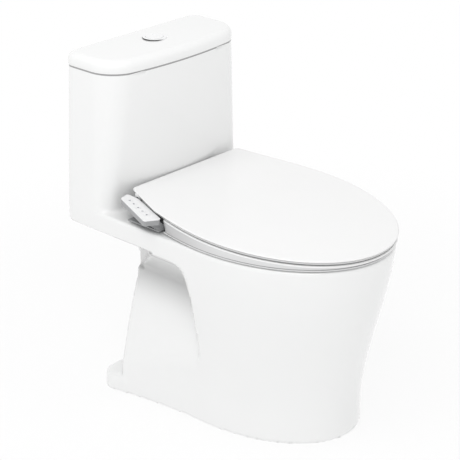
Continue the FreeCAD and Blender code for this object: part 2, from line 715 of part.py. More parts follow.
def ceramic_body():
    skirt = skirt_solid(0.0, RIM_Z, 0.0)
    scoop = scoop_cutter()
    skirt = skirt.cut(scoop).cut(mirrored(scoop))
    relief = relief_cutter(0.0)
    skirt = skirt.cut(relief).cut(mirrored(relief))
    tank = tank_solid(RIM_Z, TANK_JOINT_Z, 0.0)
    outer = joined([skirt, rear_deck(), tank, foot_solid(), rear_gusset(), flush_housing()])
    relief = relief_cutter(SKIRT_WALL)
    hollow = skirt_void().cut(relief).cut(mirrored(relief))
    hollow = hollow.cut(well_solid(BOWL_WALL, RIM_Z))
    hollow = hollow.cut(trap_tube(TRAP_R + TRAP_WALL, -2.0, TRAP_WALL))
    hollow = hollow.cut(flush_passage(FLUSH_PASSAGE_R + FLUSH_PASSAGE_WALL, 0.0))
    body = outer.cut(hollow)
    cuts = [well_solid(0.0, RIM_Z + 5.0), trap_tube(TRAP_R, -2.0, 0.0),
            flush_passage(FLUSH_PASSAGE_R, FLUSH_PASSAGE_OPEN),
            tank_solid(TANK_FLOOR_Z, TANK_JOINT_Z + 5.0, CERAMIC_WALL),
            upright(FLUSH_HOLE_R, 0, BUTTON_Y, DECK_UNDER_Z - 2 * FLUSH_PASSAGE_R, TANK_FLOOR_Z + 1),
            upright(SHANK_R + SHANK_GAP, FILL_X, FILL_Y, DECK_UNDER_Z - 1, TANK_FLOOR_Z + 1)]
    cuts += [upright(FLOOR_HOLE_R, x, FLOOR_BOLT_Y, -1, FOOT_H + 1) for x in bolt_places(FLOOR_BOLT_SPACING)]
    cuts += [upright(SEAT_HOLE_R, x, SEAT_BOLT_Y, RIM_Z - DECK_T - 1, RIM_Z + 1)
             for x in bolt_places(SEAT_BOLT_SPACING)]
    for cutter in cuts:
        body = body.cut(cutter)
    return body.removeSplitter()


# Tank lid and flush button

def tank_lid_prism(inset, z0, z1):
    face = Part.Face(tank_wire(TANK_JOINT_Z, inset))
    face.translate(Vector(0, 0, z0 - TANK_JOINT_Z))
    return face.extrude(Vector(0, 0, z1 - z0))


def tank_lid():
    lip_inset = CERAMIC_WALL + LID_FIT_GAP
    lip_low = TANK_LID_LOW_Z - TANK_LID_LIP_DROP
    plate_low = TANK_LID_TOP_Z - TANK_LID_PLATE_T
    slab = tank_lid_prism(-TANK_LID_OVERHANG, TANK_LID_LOW_Z, TANK_LID_TOP_Z)
    slab = rounded(slab, TANK_LID_EDGE_R, lambda e: at_height(e, TANK_LID_TOP_Z))
    lip = tank_lid_prism(lip_inset, lip_low, plate_low)
    hollow = tank_lid_prism(lip_inset + TANK_LID_LIP_T, lip_low - 1, plate_low)
    hole = upright(BUTTON_BARREL_R + FIT_GAP, 0, BUTTON_Y, plate_low - 1, TANK_LID_TOP_Z + 1)
    return slab.fuse(lip).cut(hollow).cut(hole).removeSplitter()


def button_bezel():
    flange = upright(BUTTON_BEZEL_R, 0, BUTTON_Y, TANK_LID_TOP_Z, TANK_LID_TOP_Z + BUTTON_BEZEL_T)
    flange = rounded(flange, BUTTON_BEZEL_EDGE_R, lambda e: at_height(e, TANK_LID_TOP_Z + BUTTON_BEZEL_T))
    low = TANK_LID_TOP_Z - BUTTON_BARREL_DROP
    barrel = upright(BUTTON_BARREL_R, 0, BUTTON_Y, low, TANK_LID_TOP_Z)
    return flange.fuse(barrel).cut(upright(BUTTON_BARREL_BORE_R, 0, BUTTON_Y, low - 1, TANK_LID_TOP_Z + 9))


def button_nut():
    top = TANK_LID_TOP_Z - TANK_LID_PLATE_T
    return upright_ring(BUTTON_NUT_R, BUTTON_BARREL_R + FIT_GAP, 0, BUTTON_Y, top - BUTTON_NUT_T, top)


BUTTON_TOP_Z = TANK_LID_TOP_Z + BUTTON_BEZEL_T + BUTTON_PROUD
BUTTON_LOW_Z = BUTTON_TOP_Z - BUTTON_T


def flush_button(side):
    disc = upright(BUTTON_R, 0, BUTTON_Y, BUTTON_LOW_Z, BUTTON_TOP_Z)
    edge = BUTTON_SPLIT_X + side * BUTTON_GAP
    x0, x1 = (edge, BIG) if side > 0 else (-BIG, edge)
    key = disc.common(box(x0, x1, 0, BIG, BUTTON_LOW_Z, BUTTON_TOP_Z))
    return rounded(key, BUTTON_PROUD, lambda e: at_height(e, BUTTON_TOP_Z))


def push_rod(x):
    low = TOWER_TOP_Z + BUTTON_TRAVEL + ROD_END_GAP
    return upright(ROD_R, x, BUTTON_Y, low, BUTTON_LOW_Z)


# Flush valve

VALVE_FLANGE_Z = TANK_FLOOR_Z + GASKET_T
VALVE_SEAT_Z = VALVE_FLANGE_Z + VALVE_FLANGE_T
SEAL_LOW_Z = VALVE_SEAT_Z + REST_GAP
CANISTER_LOW_Z = SEAL_LOW_Z + SEAL_T
OVERFLOW_TOP_Z = TOWER_TOP_Z - TOWER_CAP_T - CANISTER_LIFT - OVERFLOW_AIR


def flush_gasket():
    return upright_ring(VALVE_FLANGE_R, FLUSH_HOLE_R + FIT_GAP, 0, BUTTON_Y, TANK_FLOOR_Z, VALVE_FLANGE_Z)


def flush_valve_base():
    flange = upright(VALVE_FLANGE_R, 0, BUTTON_Y, VALVE_FLANGE_Z, VALVE_SEAT_Z)
    low = VALVE_FLANGE_Z - VALVE_SPIGOT_L
    spigot = upright(FLUSH_HOLE_R - VALVE_SPIGOT_GAP, 0, BUTTON_Y, low, VALVE_FLANGE_Z)
    return flange.fuse(spigot).cut(upright(VALVE_SEAT_R, 0, BUTTON_Y, low - 1, VALVE_SEAT_Z + 1))


def flush_seal():
    return upright_ring(SEAL_R, OVERFLOW_BORE_R, 0, BUTTON_Y, SEAL_LOW_Z, CANISTER_LOW_Z)


def flush_canister():
    foot_top = CANISTER_LOW_Z + CANISTER_FOOT_T
    foot = upright(SEAL_R - CANISTER_FOOT_INSET, 0, BUTTON_Y, CANISTER_LOW_Z, foot_top)
    tube = upright(OVERFLOW_R, 0, BUTTON_Y, CANISTER_LOW_Z, OVERFLOW_TOP_Z)
    bore = upright(OVERFLOW_BORE_R, 0, BUTTON_Y, CANISTER_LOW_Z - 1, OVERFLOW_TOP_Z + 1)
    return foot.fuse(tube).cut(bore)


def flush_tower():
    cap_low = TOWER_TOP_Z - TOWER_CAP_T
    pieces = [upright_ring(TOWER_R, TOWER_R - TOWER_WALL, 0, BUTTON_Y,
                           VALVE_SEAT_Z + TOWER_WINDOW_H, cap_low),
              upright(TOWER_R, 0, BUTTON_Y, cap_low, TOWER_TOP_Z)]
    for i in range(TOWER_LEGS):
        a = math.pi * (2 * i + 1) / TOWER_LEGS
        x = TOWER_R * math.cos(a)
        y = BUTTON_Y + TOWER_R * math.sin(a)
        pieces.append(upright(TOWER_LEG_R, x, y, VALVE_SEAT_Z, cap_low))
    bore_r = ROD_R + ROD_GUIDE_GAP
    for x in (ROD_FULL_X, ROD_HALF_X):
        pieces.append(upright_ring(bore_r + ROD_GUIDE_WALL, bore_r, x, BUTTON_Y, TOWER_TOP_Z,
                                   TOWER_TOP_Z + ROD_GUIDE_H))
    core = upright(TOWER_R - TOWER_WALL, 0, BUTTON_Y, VALVE_SEAT_Z - 1, cap_low)
    refill = upright(REFILL_BORE_R, REFILL_END_X, FILL_Y, cap_low - 1, TOWER_TOP_Z + 1)
    return joined(pieces).cut(core).cut(refill)


# Fill valve

FILL_FLANGE_Z = TANK_FLOOR_Z + GASKET_T
SHANK_LOW_Z = DECK_UNDER_Z - SHANK_NUT_T
SUPPLY_LOW_Z = SHANK_LOW_Z - SUPPLY_THREAD_L
REFILL_Z = RISER_TOP_Z + 0.5 * FILL_CAP_H


def fill_valve():
    stop_top = FLOAT_LOW_Z - REST_GAP
    pieces = [upright(SUPPLY_THREAD_R, FILL_X, FILL_Y, SUPPLY_LOW_Z, SHANK_LOW_Z),
              upright(SHANK_R, FILL_X, FILL_Y, SHANK_LOW_Z, FILL_FLANGE_Z),
              upright(FILL_FLANGE_R, FILL_X, FILL_Y, FILL_FLANGE_Z, FILL_FLANGE_Z + FILL_FLANGE_T),
              upright(RISER_R, FILL_X, FILL_Y, FILL_FLANGE_Z, RISER_TOP_Z),
              upright(FLOAT_STOP_R, FILL_X, FILL_Y, stop_top - FLOAT_STOP_T, stop_top)]
    return joined(pieces).cut(upright(SHANK_BORE_R, FILL_X, FILL_Y, SUPPLY_LOW_Z - 1, RISER_TOP_Z + 1))


def fill_valve_cap():
    top = RISER_TOP_Z + FILL_CAP_H
    head = upright(FILL_CAP_R, FILL_X, FILL_Y, RISER_TOP_Z, top)
    head = rounded(head, FILL_EDGE_R, lambda e: at_height(e, top))
    bore = upright(SHANK_BORE_R, FILL_X, FILL_Y, RISER_TOP_Z - 1, REFILL_Z)
    port = crosswise(REFILL_BORE_R, FILL_X, FILL_X + FILL_CAP_R + 1, FILL_Y, REFILL_Z)
    return head.cut(bore).cut(port)


def fill_float():
    top = FLOAT_LOW_Z + FLOAT_H
    cup = upright(FLOAT_R, FILL_X, FILL_Y, FLOAT_LOW_Z, top)
    cup = rounded(cup, FILL_EDGE_R, lambda e: at_height(e, top))
    return cup.cut(upright(RISER_R + FLOAT_GAP, FILL_X, FILL_Y, FLOAT_LOW_Z - 1, top + 1))


def shank_washer():
    return upright_ring(FILL_FLANGE_R, SHANK_R + FIT_GAP, FILL_X, FILL_Y, TANK_FLOOR_Z, FILL_FLANGE_Z)


def hexagon(across_flats, x, y, z0, z1):
    r = across_flats / math.sqrt(3.0)
    turns = [math.pi * i / 3 for i in range(6)]
    points = [Vector(x + r * math.cos(a), y + r * math.sin(a), z0) for a in turns]
    return polygon_prism(points, Vector(0, 0, z1 - z0))


def shank_nut():
    low = SHANK_LOW_Z
    nut = hexagon(2 * SHANK_NUT_R, FILL_X, FILL_Y, low, DECK_UNDER_Z)
    return nut.cut(upright(SHANK_R + FIT_GAP, FILL_X, FILL_Y, low - 1, DECK_UNDER_Z + 1))


def refill_tube():
    start = Vector(FILL_X + FILL_CAP_R, FILL_Y, REFILL_Z)
    turn = Vector(REFILL_END_X - REFILL_BEND_R, FILL_Y, REFILL_Z)
    k = REFILL_BEND_R * math.sqrt(0.5)
    middle = turn + Vector(k, 0, k - REFILL_BEND_R)
    fall = turn + Vector(REFILL_BEND_R, 0, -REFILL_BEND_R)
    end = Vector(REFILL_END_X, FILL_Y, TOWER_TOP_Z)
    path = Part.Wire([Part.LineSegment(start, turn).toShape(), Part.Arc(turn, middle, fall).toShape(),
                      Part.LineSegment(fall, end).toShape()])

    def along(r):
        return path.makePipeShell([Part.Wire([Part.makeCircle(r, start, X_AXIS)])], True, False)

    return along(REFILL_R).cut(along(REFILL_BORE_R))


# Floor fixings

def floor_bolts():
    head_z = FOOT_H + FLOOR_WASHER_T
    bolts = []
    for x in bolt_places(FLOOR_BOLT_SPACING):
        shank = upright(FLOOR_BOLT_R, x, FLOOR_BOLT_Y, FLOOR_BOLT_LOW_Z, head_z)
        head = hexagon(FLOOR_BOLT_HEAD_AF, x, FLOOR_BOLT_Y, head_z, head_z + FLOOR_BOLT_HEAD_T)
        bolts.append(shank.fuse(head).removeSplitter())
    return Part.makeCompound(bolts)


def floor_washers():
    return Part.makeCompound([upright_ring(FLOOR_WASHER_R, FLOOR_BOLT_R + FIT_GAP, x, FLOOR_BOLT_Y, FOOT_H,
                                           FOOT_H + FLOOR_WASHER_T) for x in bolt_places(FLOOR_BOLT_SPACING)])


def floor_bolt_caps():
    top = FOOT_H + FLOOR_CAP_H
    caps = []
    for x in bolt_places(FLOOR_BOLT_SPACING):
        dome = upright(FLOOR_CAP_R, x, FLOOR_BOLT_Y, FOOT_H, top)
        dome = rounded(dome, FLOOR_CAP_EDGE_R, lambda e: at_height(e, top))
        caps.append(dome.cut(upright(FLOOR_CAP_R - FLOOR_CAP_WALL, x, FLOOR_BOLT_Y, FOOT_H - 1,
                                     top - FLOOR_CAP_ROOF_T)))
    return Part.makeCompound(caps)


def outlet_seal():
    r = TRAP_R + TRAP_WALL + FIT_GAP
    return upright_ring(r + SEAL_RING_W, r, 0, 0, 0, SEAL_RING_H)


# Seat and lid

def lid_wire(z, inset):
    return round_front_wire(z, LID_HALF - inset, LID_WIDEST_Y, LID_FRONT_Y + inset, LID_BACK_HALF - inset,
                            LID_BACK_Y - inset, LID_BACK_LEAN)


def lid_side_x(y):
    """Half width of the lid at a place behind its widest line."""
    t = (y - LID_WIDEST_Y) / (LID_BACK_Y - LID_WIDEST_Y)
    rear = LID_BACK_HALF + LID_BACK_LEAN * (LID_BACK_Y - LID_WIDEST_Y) / 3.0
    return (LID_HALF * (1 - t) ** 2 * (1 + 2 * t) + 3 * rear * t * t * (1 - t) + LID_BACK_HALF * t ** 3)


def lid_prism(inset, z0, z1):
    return Part.Face(lid_wire(z0, inset)).extrude(Vector(0, 0, z1 - z0))


def notch_ends():
    """Front and back end of the line along which the lid is cut back beside the panel."""
    front_y = LID_BACK_Y - NOTCH_L
    return Vector(-lid_side_x(front_y), front_y, 0), Vector(NOTCH_IN - LID_BACK_HALF, LID_BACK_Y, 0)


def lid_left_x(y):
    """Distance of the lid's panel side from the middle plane, behind its widest line."""
    front, back = notch_ends()
    return -mix(front.x, back.x, (y - front.y) / NOTCH_L) if y > front.y else lid_side_x(y)


def notched_prism(inset, z0, z1):
    front, back = notch_ends()
    along = (back - front).normalize()
    shift = Vector(along.y, -along.x, 0) * inset + Vector(0, 0, z0)
    ends = [front - along * BIG + shift, back + along * BIG + shift]
    corners = ends + [ends[1] - X_AXIS * BIG, ends[0] - X_AXIS * BIG, ends[0]]
    off = Part.Face(Part.makePolygon(corners)).extrude(Vector(0, 0, z1 - z0))
    return lid_prism(inset, z0, z1).cut(off)


def seat_lid():
    low = LID_BACK_Z - LID_EDGE_T
    slab = notched_prism(0.0, low, LID_BACK_Z)
    bend_y = LID_BACK_Y - NOTCH_L
    slab = rounded(slab, NOTCH_BEND_R, lambda e: abs(e.BoundBox.ZLength - LID_EDGE_T) < 0.01
                   and abs(e.BoundBox.YMin - bend_y) < 1 and e.BoundBox.XMax < 0)
    slab = rounded(slab, LID_CORNER_R, lambda e: abs(e.BoundBox.ZLength - LID_EDGE_T) < 0.01
                   and e.BoundBox.YMin > LID_BACK_Y - 1)
    slab = rounded(slab, LID_EDGE_R, lambda e: at_height(e, LID_BACK_Z))
    shell = tilted(slab.cut(notched_prism(LID_RIM_W, low - 1, LID_BACK_Z - LID_SKIN_T)))
    lid = [shell]
    for s in BOTH_SIDES:
        x0, x1 = sorted((s * LID_ARM_X, s * (LID_ARM_X + ARM_T)))
        boss = crosswise(LID_ARM_R, x0, x1, HINGE_Y, HINGE_Z)
        web = box(x0, x1, HINGE_Y - LID_ARM_R, HINGE_Y + LID_ARM_R, HINGE_Z,
                  LID_BACK_Z - LID_SKIN_T)
        lid.append(boss.fuse(web))
    bore = crosswise(PIN_R + PIN_FIT, -BIG / 2, BIG / 2, HINGE_Y, HINGE_Z)
    return joined(lid).cut(bore)


def seat_hole(grow, z0, z1):
    mid = 0.5 * (SEAT_HOLE_BACK_Y + SEAT_HOLE_FRONT_Y)
    long_r = 0.5 * (SEAT_HOLE_BACK_Y - SEAT_HOLE_FRONT_Y) + grow
    ellipse = Part.Ellipse(Vector(0, mid, z0), long_r, SEAT_HOLE_HALF + grow)
    ellipse.XAxis = Y_AXIS
    return Part.Face(Part.Wire([ellipse.toShape()])).extrude(Vector(0, 0, z1 - z0))


def seat_form(inset, z0, roof_drop):
    """Seat ring, level below and tilted with the lid above."""
    roof = tilted(box(-BIG, BIG, -BIG, BIG, LID_BACK_Z - roof_drop, LID_BACK_Z + BIG))
    form = lid_prism(SEAT_INSET + inset, z0, LID_BACK_Z)
    form = form.common(box(-BIG, BIG, -BIG, SEAT_BACK_Y - inset, z0, LID_BACK_Z))
    return form.cut(roof).cut(seat_hole(inset, z0 - 1, LID_BACK_Z + 1))


def seat_ring():
    shell = seat_form(0.0, SEAT_LOW_Z, SEAT_DROP)
    shell = shell.cut(seat_form(SEAT_SHELL_T, SEAT_LOW_Z - 1, SEAT_DROP + SEAT_SHELL_T))
    pieces = [shell]
    arm_h = 2 * SEAT_ARM_R
    for s in BOTH_SIDES:
        x0, x1 = sorted((s * SEAT_ARM_X, s * (SEAT_ARM_X + ARM_T)))
        boss = crosswise(SEAT_ARM_R, x0, x1, HINGE_Y, HINGE_Z)
        root_y = SEAT_BACK_Y - 0.5 * SEAT_SHELL_T
        points = [Vector(x0, root_y, SEAT_ARM_LOW_Z), Vector(x0, root_y, SEAT_ARM_LOW_Z + arm_h),
                  Vector(x0, HINGE_Y, HINGE_Z + SEAT_ARM_R), Vector(x0, HINGE_Y, HINGE_Z - SEAT_ARM_R)]
        pieces.append(boss.fuse(polygon_prism(points, Vector(ARM_T, 0, 0))))
    bore = crosswise(PIN_R + PIN_FIT, -BIG / 2, BIG / 2, HINGE_Y, HINGE_Z)
    return joined(pieces).cut(bore)


def seat_underside():
    plate = seat_form(SEAT_SHELL_T + FIT_GAP, SEAT_LOW_Z, SEAT_DROP)
    return plate.common(box(-BIG, BIG, -BIG, BIG, SEAT_LOW_Z, SEAT_LOW_Z + SEAT_PLATE_T))


def seat_bumpers():
    return Part.makeCompound([upright(BUMPER_R, s * x, y, RIM_Z, SEAT_LOW_Z)
                              for x, y in SEAT_BUMPER_PLACES for s in BOTH_SIDES])


def lid_bumpers():
    x, y = LID_BUMPER_PLACE
    low = LID_BACK_Z - SEAT_DROP + REST_GAP
    return Part.makeCompound([tilted(upright(BUMPER_R, s * x, y, low, LID_BACK_Z - LID_SKIN_T))
                              for s in BOTH_SIDES])


def hinge_pins():
    start = UNIT_HALF - PIN_HELD_L
    pins = [crosswise(PIN_R, start, PIN_END_X, HINGE_Y, HINGE_Z),
            crosswise(PIN_R, -PIN_END_X, -start, HINGE_Y, HINGE_Z)]
    return Part.makeCompound(pins)


def damper(side):
    inner = UNIT_HALF - UNIT_WALL - FIT_GAP
    x0, x1 = sorted((side * (inner - DAMPER_L), side * inner))
    body = crosswise(UNIT_BARREL_R - UNIT_WALL - FIT_GAP, x0, x1, HINGE_Y, HINGE_Z)
    y0, y1 = sorted((side * (UNIT_HALF - PIN_HELD_L), side * BIG))
    return body.cut(crosswise(PIN_R + PIN_FIT, y0, y1, HINGE_Y, HINGE_Z))


# Rear unit

def unit_form(inset, low):
    case = box(-UNIT_HALF + inset, UNIT_HALF - inset, UNIT_FRONT_Y + inset, UNIT_BACK_Y - inset, low,
               UNIT_TOP_Z - inset)
    barrel = crosswise(UNIT_BARREL_R - inset, -UNIT_HALF + inset, UNIT_HALF - inset, HINGE_Y, HINGE_Z)
    return case.fuse(barrel)


def unit_shell():
    return unit_form(0.0, UNIT_LOW_Z).cut(unit_form(UNIT_WALL, UNIT_FLOOR_Z))


def guide_slot():
    y0 = NOZZLE_REF_Y + (UNIT_LOW_Z - NOZZLE_REF_Z - GUIDE_SLOT_RISE) / math.tan(math.radians(NOZZLE_SLOPE))
    y1 = NOZZLE_REF_Y + (UNIT_FLOOR_Z - NOZZLE_REF_Z + GUIDE_SLOT_RISE) / math.tan(math.radians(NOZZLE_SLOPE))
    half = GUIDE_HALF_W + GUIDE_SLOT_GAP
    return box(-half, half, y0, y1, UNIT_LOW_Z - 1, UNIT_FLOOR_Z + 0.5)


def unit_base():
    tray = unit_shell().common(box(-BIG, BIG, -BIG, BIG, UNIT_LOW_Z, UNIT_SPLIT_Z))
    neck_x = min(x for x, y in neck_low())
    neck_y = [y for x, y in neck_low()]
    pieces = [tray, box(-WING_HALF, POD_OUT_X, WING_FRONT_Y, UNIT_BACK_Y, UNIT_LOW_Z, UNIT_FLOOR_Z),
              box(neck_x, -WING_HALF + 1, min(neck_y), max(neck_y), UNIT_LOW_Z, UNIT_FLOOR_Z),
              box(POD_IN_X, POD_OUT_X, POD_FRONT_Y, POD_BACK_Y, UNIT_LOW_Z, POD_TOP_Z)]
    base = joined(pieces).cut(guide_slot())
    base = base.cut(crosswise(INLET_BORE_R, POD_IN_X + UNIT_WALL, POD_OUT_X + 1, INLET_Y, INLET_Z))
    return base.cut(crosswise(GLAND_BORE_R, POD_IN_X + UNIT_WALL, POD_OUT_X + 1, GLAND_Y, INLET_Z))


def unit_cover():
    cover = unit_shell().common(box(-BIG, BIG, -BIG, BIG, UNIT_SPLIT_Z, BIG))
    return cover.cut(crosswise(PIN_R + PIN_FIT, -BIG / 2, BIG / 2, HINGE_Y, HINGE_Z))


def mounting_plate():
    plate = box(-PLATE_HALF, PLATE_HALF, PLATE_FRONT_Y, PLATE_BACK_Y, RIM_Z, UNIT_LOW_Z)
    for x in bolt_places(SEAT_BOLT_SPACING):
        plate = plate.cut(upright(SEAT_BOLT_R + FIT_GAP, x, SEAT_BOLT_Y, RIM_Z - 1, UNIT_LOW_Z + 1))
        plate = plate.cut(upright(SEAT_BOLT_HEAD_R + FIT_GAP, x, SEAT_BOLT_Y,
                                  UNIT_LOW_Z - SEAT_BOLT_HEAD_T - FIT_GAP, UNIT_LOW_Z + 1))
    return plate


def seat_bolts():
    head_z = UNIT_LOW_Z - SEAT_BOLT_HEAD_T - FIT_GAP
    bolts = []
    for x in bolt_places(SEAT_BOLT_SPACING):
        head = upright(SEAT_BOLT_HEAD_R, x, SEAT_BOLT_Y, head_z, head_z + SEAT_BOLT_HEAD_T)
        bolts.append(head.fuse(upright(SEAT_BOLT_R, x, SEAT_BOLT_Y, head_z - SEAT_BOLT_L, head_z)))
    return Part.makeCompound(bolts)


def seat_anchors():
    deck_low = RIM_Z - DECK_T
    anchors = []
    for x in bolt_places(SEAT_BOLT_SPACING):
        sleeve = upright(SEAT_HOLE_R - FIT_GAP, x, SEAT_BOLT_Y, deck_low, RIM_Z)
        bulge = upright(ANCHOR_BULGE_R, x, SEAT_BOLT_Y, RIM_Z - ANCHOR_L, deck_low)
        bore = upright(SEAT_BOLT_R + FIT_GAP, x, SEAT_BOLT_Y, RIM_Z - ANCHOR_L - 1, RIM_Z + 1)
        anchors.append(sleeve.fuse(bulge).cut(bore))
    return Part.makeCompound(anchors)


def inlet_fitting():
    collar_end = POD_OUT_X + INLET_COLLAR_L
    collar = crosswise(INLET_COLLAR_R, POD_OUT_X, collar_end, INLET_Y, INLET_Z)
    thread = crosswise(INLET_THREAD_R, collar_end, collar_end + INLET_THREAD_L, INLET_Y, INLET_Z)
    bore = crosswise(INLET_BORE_R, POD_OUT_X - 1, collar_end + INLET_THREAD_L + 1, INLET_Y, INLET_Z)
    return collar.fuse(thread).cut(bore)


def cord_gland():
    body = crosswise(GLAND_R, POD_OUT_X, POD_OUT_X + GLAND_L, GLAND_Y, INLET_Z)
    return body.cut(crosswise(GLAND_BORE_R, POD_OUT_X - 1, POD_OUT_X + GLAND_L + 1, GLAND_Y, INLET_Z))


# Wash nozzles and water parts

NOZZLE_A = math.radians(NOZZLE_SLOPE)
NOZZLE_OUT = Vector(0, -math.cos(NOZZLE_A), -math.sin(NOZZLE_A))


def nozzle_point(x, y):
    return Vector(x, y, NOZZLE_REF_Z + (y - NOZZLE_REF_Y) * math.tan(NOZZLE_A))


def nozzle_guide():
    length = (GUIDE_BACK_Y - GUIDE_FRONT_Y) / math.cos(NOZZLE_A)
    block = Part.makeBox(2 * GUIDE_HALF_W, length, 2 * GUIDE_HALF_H, Vector(-GUIDE_HALF_W, 0, -GUIDE_HALF_H))
    block = rounded(block, GUIDE_EDGE_R, lambda e: e.BoundBox.YLength > length - 0.01)
    block.rotate(Vector(0, 0, 0), X_AXIS, NOZZLE_SLOPE)
    block.translate(nozzle_point(0, GUIDE_FRONT_Y))
    for s in BOTH_SIDES:
        start = nozzle_point(s * 0.5 * NOZZLE_PITCH, GUIDE_BACK_Y) - NOZZLE_OUT * 5.0
        block = block.cut(Part.makeCylinder(NOZZLE_R + NOZZLE_FIT, length + 10.0, start, NOZZLE_OUT))
    return block


def wash_nozzle(side):
    tip = nozzle_point(side * 0.5 * NOZZLE_PITCH, NOZZLE_TIP_Y)
    rod = Part.makeCylinder(NOZZLE_R, NOZZLE_L, tip, NOZZLE_OUT * -1)
    rod = rounded(rod, NOZZLE_TIP_R, lambda e: (e.CenterOfMass - tip).Length < 0.5)
    up = Vector(0, -math.sin(NOZZLE_A), math.cos(NOZZLE_A))
    for i in range(NOZZLE_JETS):
        place = tip - NOZZLE_OUT * (NOZZLE_R + NOZZLE_JET_PITCH * i)
        rod = rod.cut(Part.makeCylinder(NOZZLE_JET_R, NOZZLE_R + 1, place, up))
    return rod.cut(Part.makeCylinder(NOZZLE_BORE_R, NOZZLE_L, tip - NOZZLE_OUT * NOZZLE_R, NOZZLE_OUT * -1))


def module_block(limits):
    x0, x1, y0, y1, height = limits
    top = UNIT_FLOOR_Z + height
    return rounded(box(x0, x1, y0, y1, UNIT_FLOOR_Z, top), MODULE_EDGE_R,
                   lambda e: e.BoundBox.ZLength > height - 0.01 or at_height(e, top))


# Control panel

def panel_corners():
    """Plan corners beside the lid: back outer, back inner, bend, front inner and front outer.

    Behind the bend the inner side runs straight back, clear of the rear of the lid when it swings down.
    """
    back_y = LID_BACK_Y - PANEL_BACK_INSET
    front_y = back_y - PANEL_L
    bend_y = HINGE_Y - PANEL_BEND_INSET
    back_x = -lid_left_x(bend_y) - PANEL_LID_GAP
    front_x = -lid_left_x(front_y) - PANEL_LID_GAP
    return [(back_x - PANEL_BACK_W, back_y - PANEL_BACK_SKEW), (back_x, back_y), (back_x, bend_y),
            (front_x, front_y), (front_x - PANEL_FRONT_W, front_y + PANEL_FRONT_SKEW)]


def neck_low():
    return [(-WING_HALF - out, LID_BACK_Y - back) for out, back in NECK_LOW_OUT]


def neck_high():
    back_out, back_in, bend, front_in, front_out = panel_corners()
    corners = (back_in, back_out, front_out, front_in)
    return [(x + dx, y + dy) for (x, y), (dx, dy) in zip(corners, NECK_HIGH_OFF)]


def panel_outline(z, inset):
    corners = [Vector(x, y, z) for x, y in panel_corners()]
    wire = Part.makePolygon(corners + corners[:1])
    if inset > 0:
        wire = wire.makeOffset2D(-inset, 2)
    return Part.Face(wire)


def panel_prism(z0, z1, inset):
    return panel_outline(z0, inset).extrude(Vector(0, 0, z1 - z0))


def panel_rounded(z0, z1):
    height = z1 - z0
    return rounded(panel_prism(z0, z1, 0.0), PANEL_CORNER_R,
                   lambda e: abs(e.BoundBox.ZLength - height) < 0.01)


def key_places():
    corners = [Vector(x, y, 0) for x, y in panel_corners()]
    back = 0.5 * (corners[0] + corners[1])
    front = 0.5 * (corners[-2] + corners[-1])
    along = (front - back).normalize()
    middle = 0.5 * (back + front)
    count = len(KEY_NAMES)
    return [middle + along * (KEY_PITCH * (i - 0.5 * (count - 1))) for i in range(count)]


def neck_form():
    wires = []
    for corners, z in ((neck_low(), UNIT_FLOOR_Z), (neck_high(), NECK_TOP_Z)):
        points = [Vector(x, y, z) for x, y in corners]
        wires.append(Part.makePolygon(points + points[:1]))
    return Part.makeLoft(wires, True, True)


def panel_housing():
    wing = tilted(panel_rounded(PANEL_LOW_Z, PANEL_FACE_Z))
    room = tilted(panel_prism(PANEL_LOW_Z + PANEL_WALL, PANEL_FACE_Z + 1, PANEL_WALL))
    return joined([wing, neck_form()]).cut(room)


def panel_face():
    face = rounded(panel_rounded(PANEL_FACE_Z, PANEL_TOP_Z), PANEL_FACE_EDGE_R,
                   lambda e: at_height(e, PANEL_TOP_Z))
    for place in key_places():
        face = face.cut(upright(KEY_R + KEY_GAP, place.x, place.y, PANEL_FACE_Z - 1, PANEL_TOP_Z + 1))
    return tilted(face)


BOARD_Z = PANEL_LOW_Z + PANEL_WALL


def control_board():
    return tilted(panel_prism(BOARD_Z, BOARD_Z + BOARD_T, PANEL_WALL + BOARD_EDGE_GAP))


def keypad():
    """Rubber pad that ends just under the pressed keys."""
    low = BOARD_Z + BOARD_T
    top = PANEL_FACE_Z - REST_GAP - KEY_FLANGE_T - KEY_TRAVEL - REST_GAP
    return tilted(panel_prism(low, top, PANEL_WALL + BOARD_EDGE_GAP))


def panel_key(place):
    flange_top = PANEL_FACE_Z - REST_GAP
    top = PANEL_TOP_Z + KEY_PROUD
    stem = upright(KEY_R, place.x, place.y, flange_top - KEY_FLANGE_T, top)
    stem = rounded(stem, KEY_EDGE_R, lambda e: at_height(e, top))
    flange = upright(KEY_FLANGE_R, place.x, place.y, flange_top - KEY_FLANGE_T, flange_top)
    return tilted(stem.fuse(flange))


os.makedirs("parts", exist_ok=True)
save("ceramic_body", ceramic_body())
save("tank_lid", tank_lid())
save("button_bezel", button_bezel())
save("button_nut", button_nut())
save("full_flush_button", flush_button(-1))
save("half_flush_button", flush_button(1))
save("full_flush_rod", push_rod(ROD_FULL_X))
save("half_flush_rod", push_rod(ROD_HALF_X))
save("flush_gasket", flush_gasket())
save("flush_valve_base", flush_valve_base())
save("flush_tower", flush_tower())
save("flush_seal", flush_seal())
save("flush_canister", flush_canister())
save("fill_valve", fill_valve())
save("fill_valve_cap", fill_valve_cap())
save("fill_float", fill_float())
save("shank_washer", shank_washer())
save("shank_nut", shank_nut())
save("refill_tube", refill_tube())
save("floor_bolts", floor_bolts())
save("floor_washers", floor_washers())
save("floor_bolt_caps", floor_bolt_caps())
save("outlet_seal", outlet_seal())
save("seat_lid", seat_lid())
save("seat_ring", seat_ring())
save("seat_underside", seat_underside())
save("seat_bumpers", seat_bumpers())
save("lid_bumpers", lid_bumpers())
save("hinge_pins", hinge_pins())
save("lid_damper", damper(-1))
save("seat_damper", damper(1))
save("unit_base", unit_base())
save("unit_cover", unit_cover())
save("mounting_plate", mounting_plate())
save("seat_bolts", seat_bolts())
save("seat_anchors", seat_anchors())
save("inlet_fitting", inlet_fitting())
save("cord_gland", cord_gland())
save("nozzle_guide", nozzle_guide())
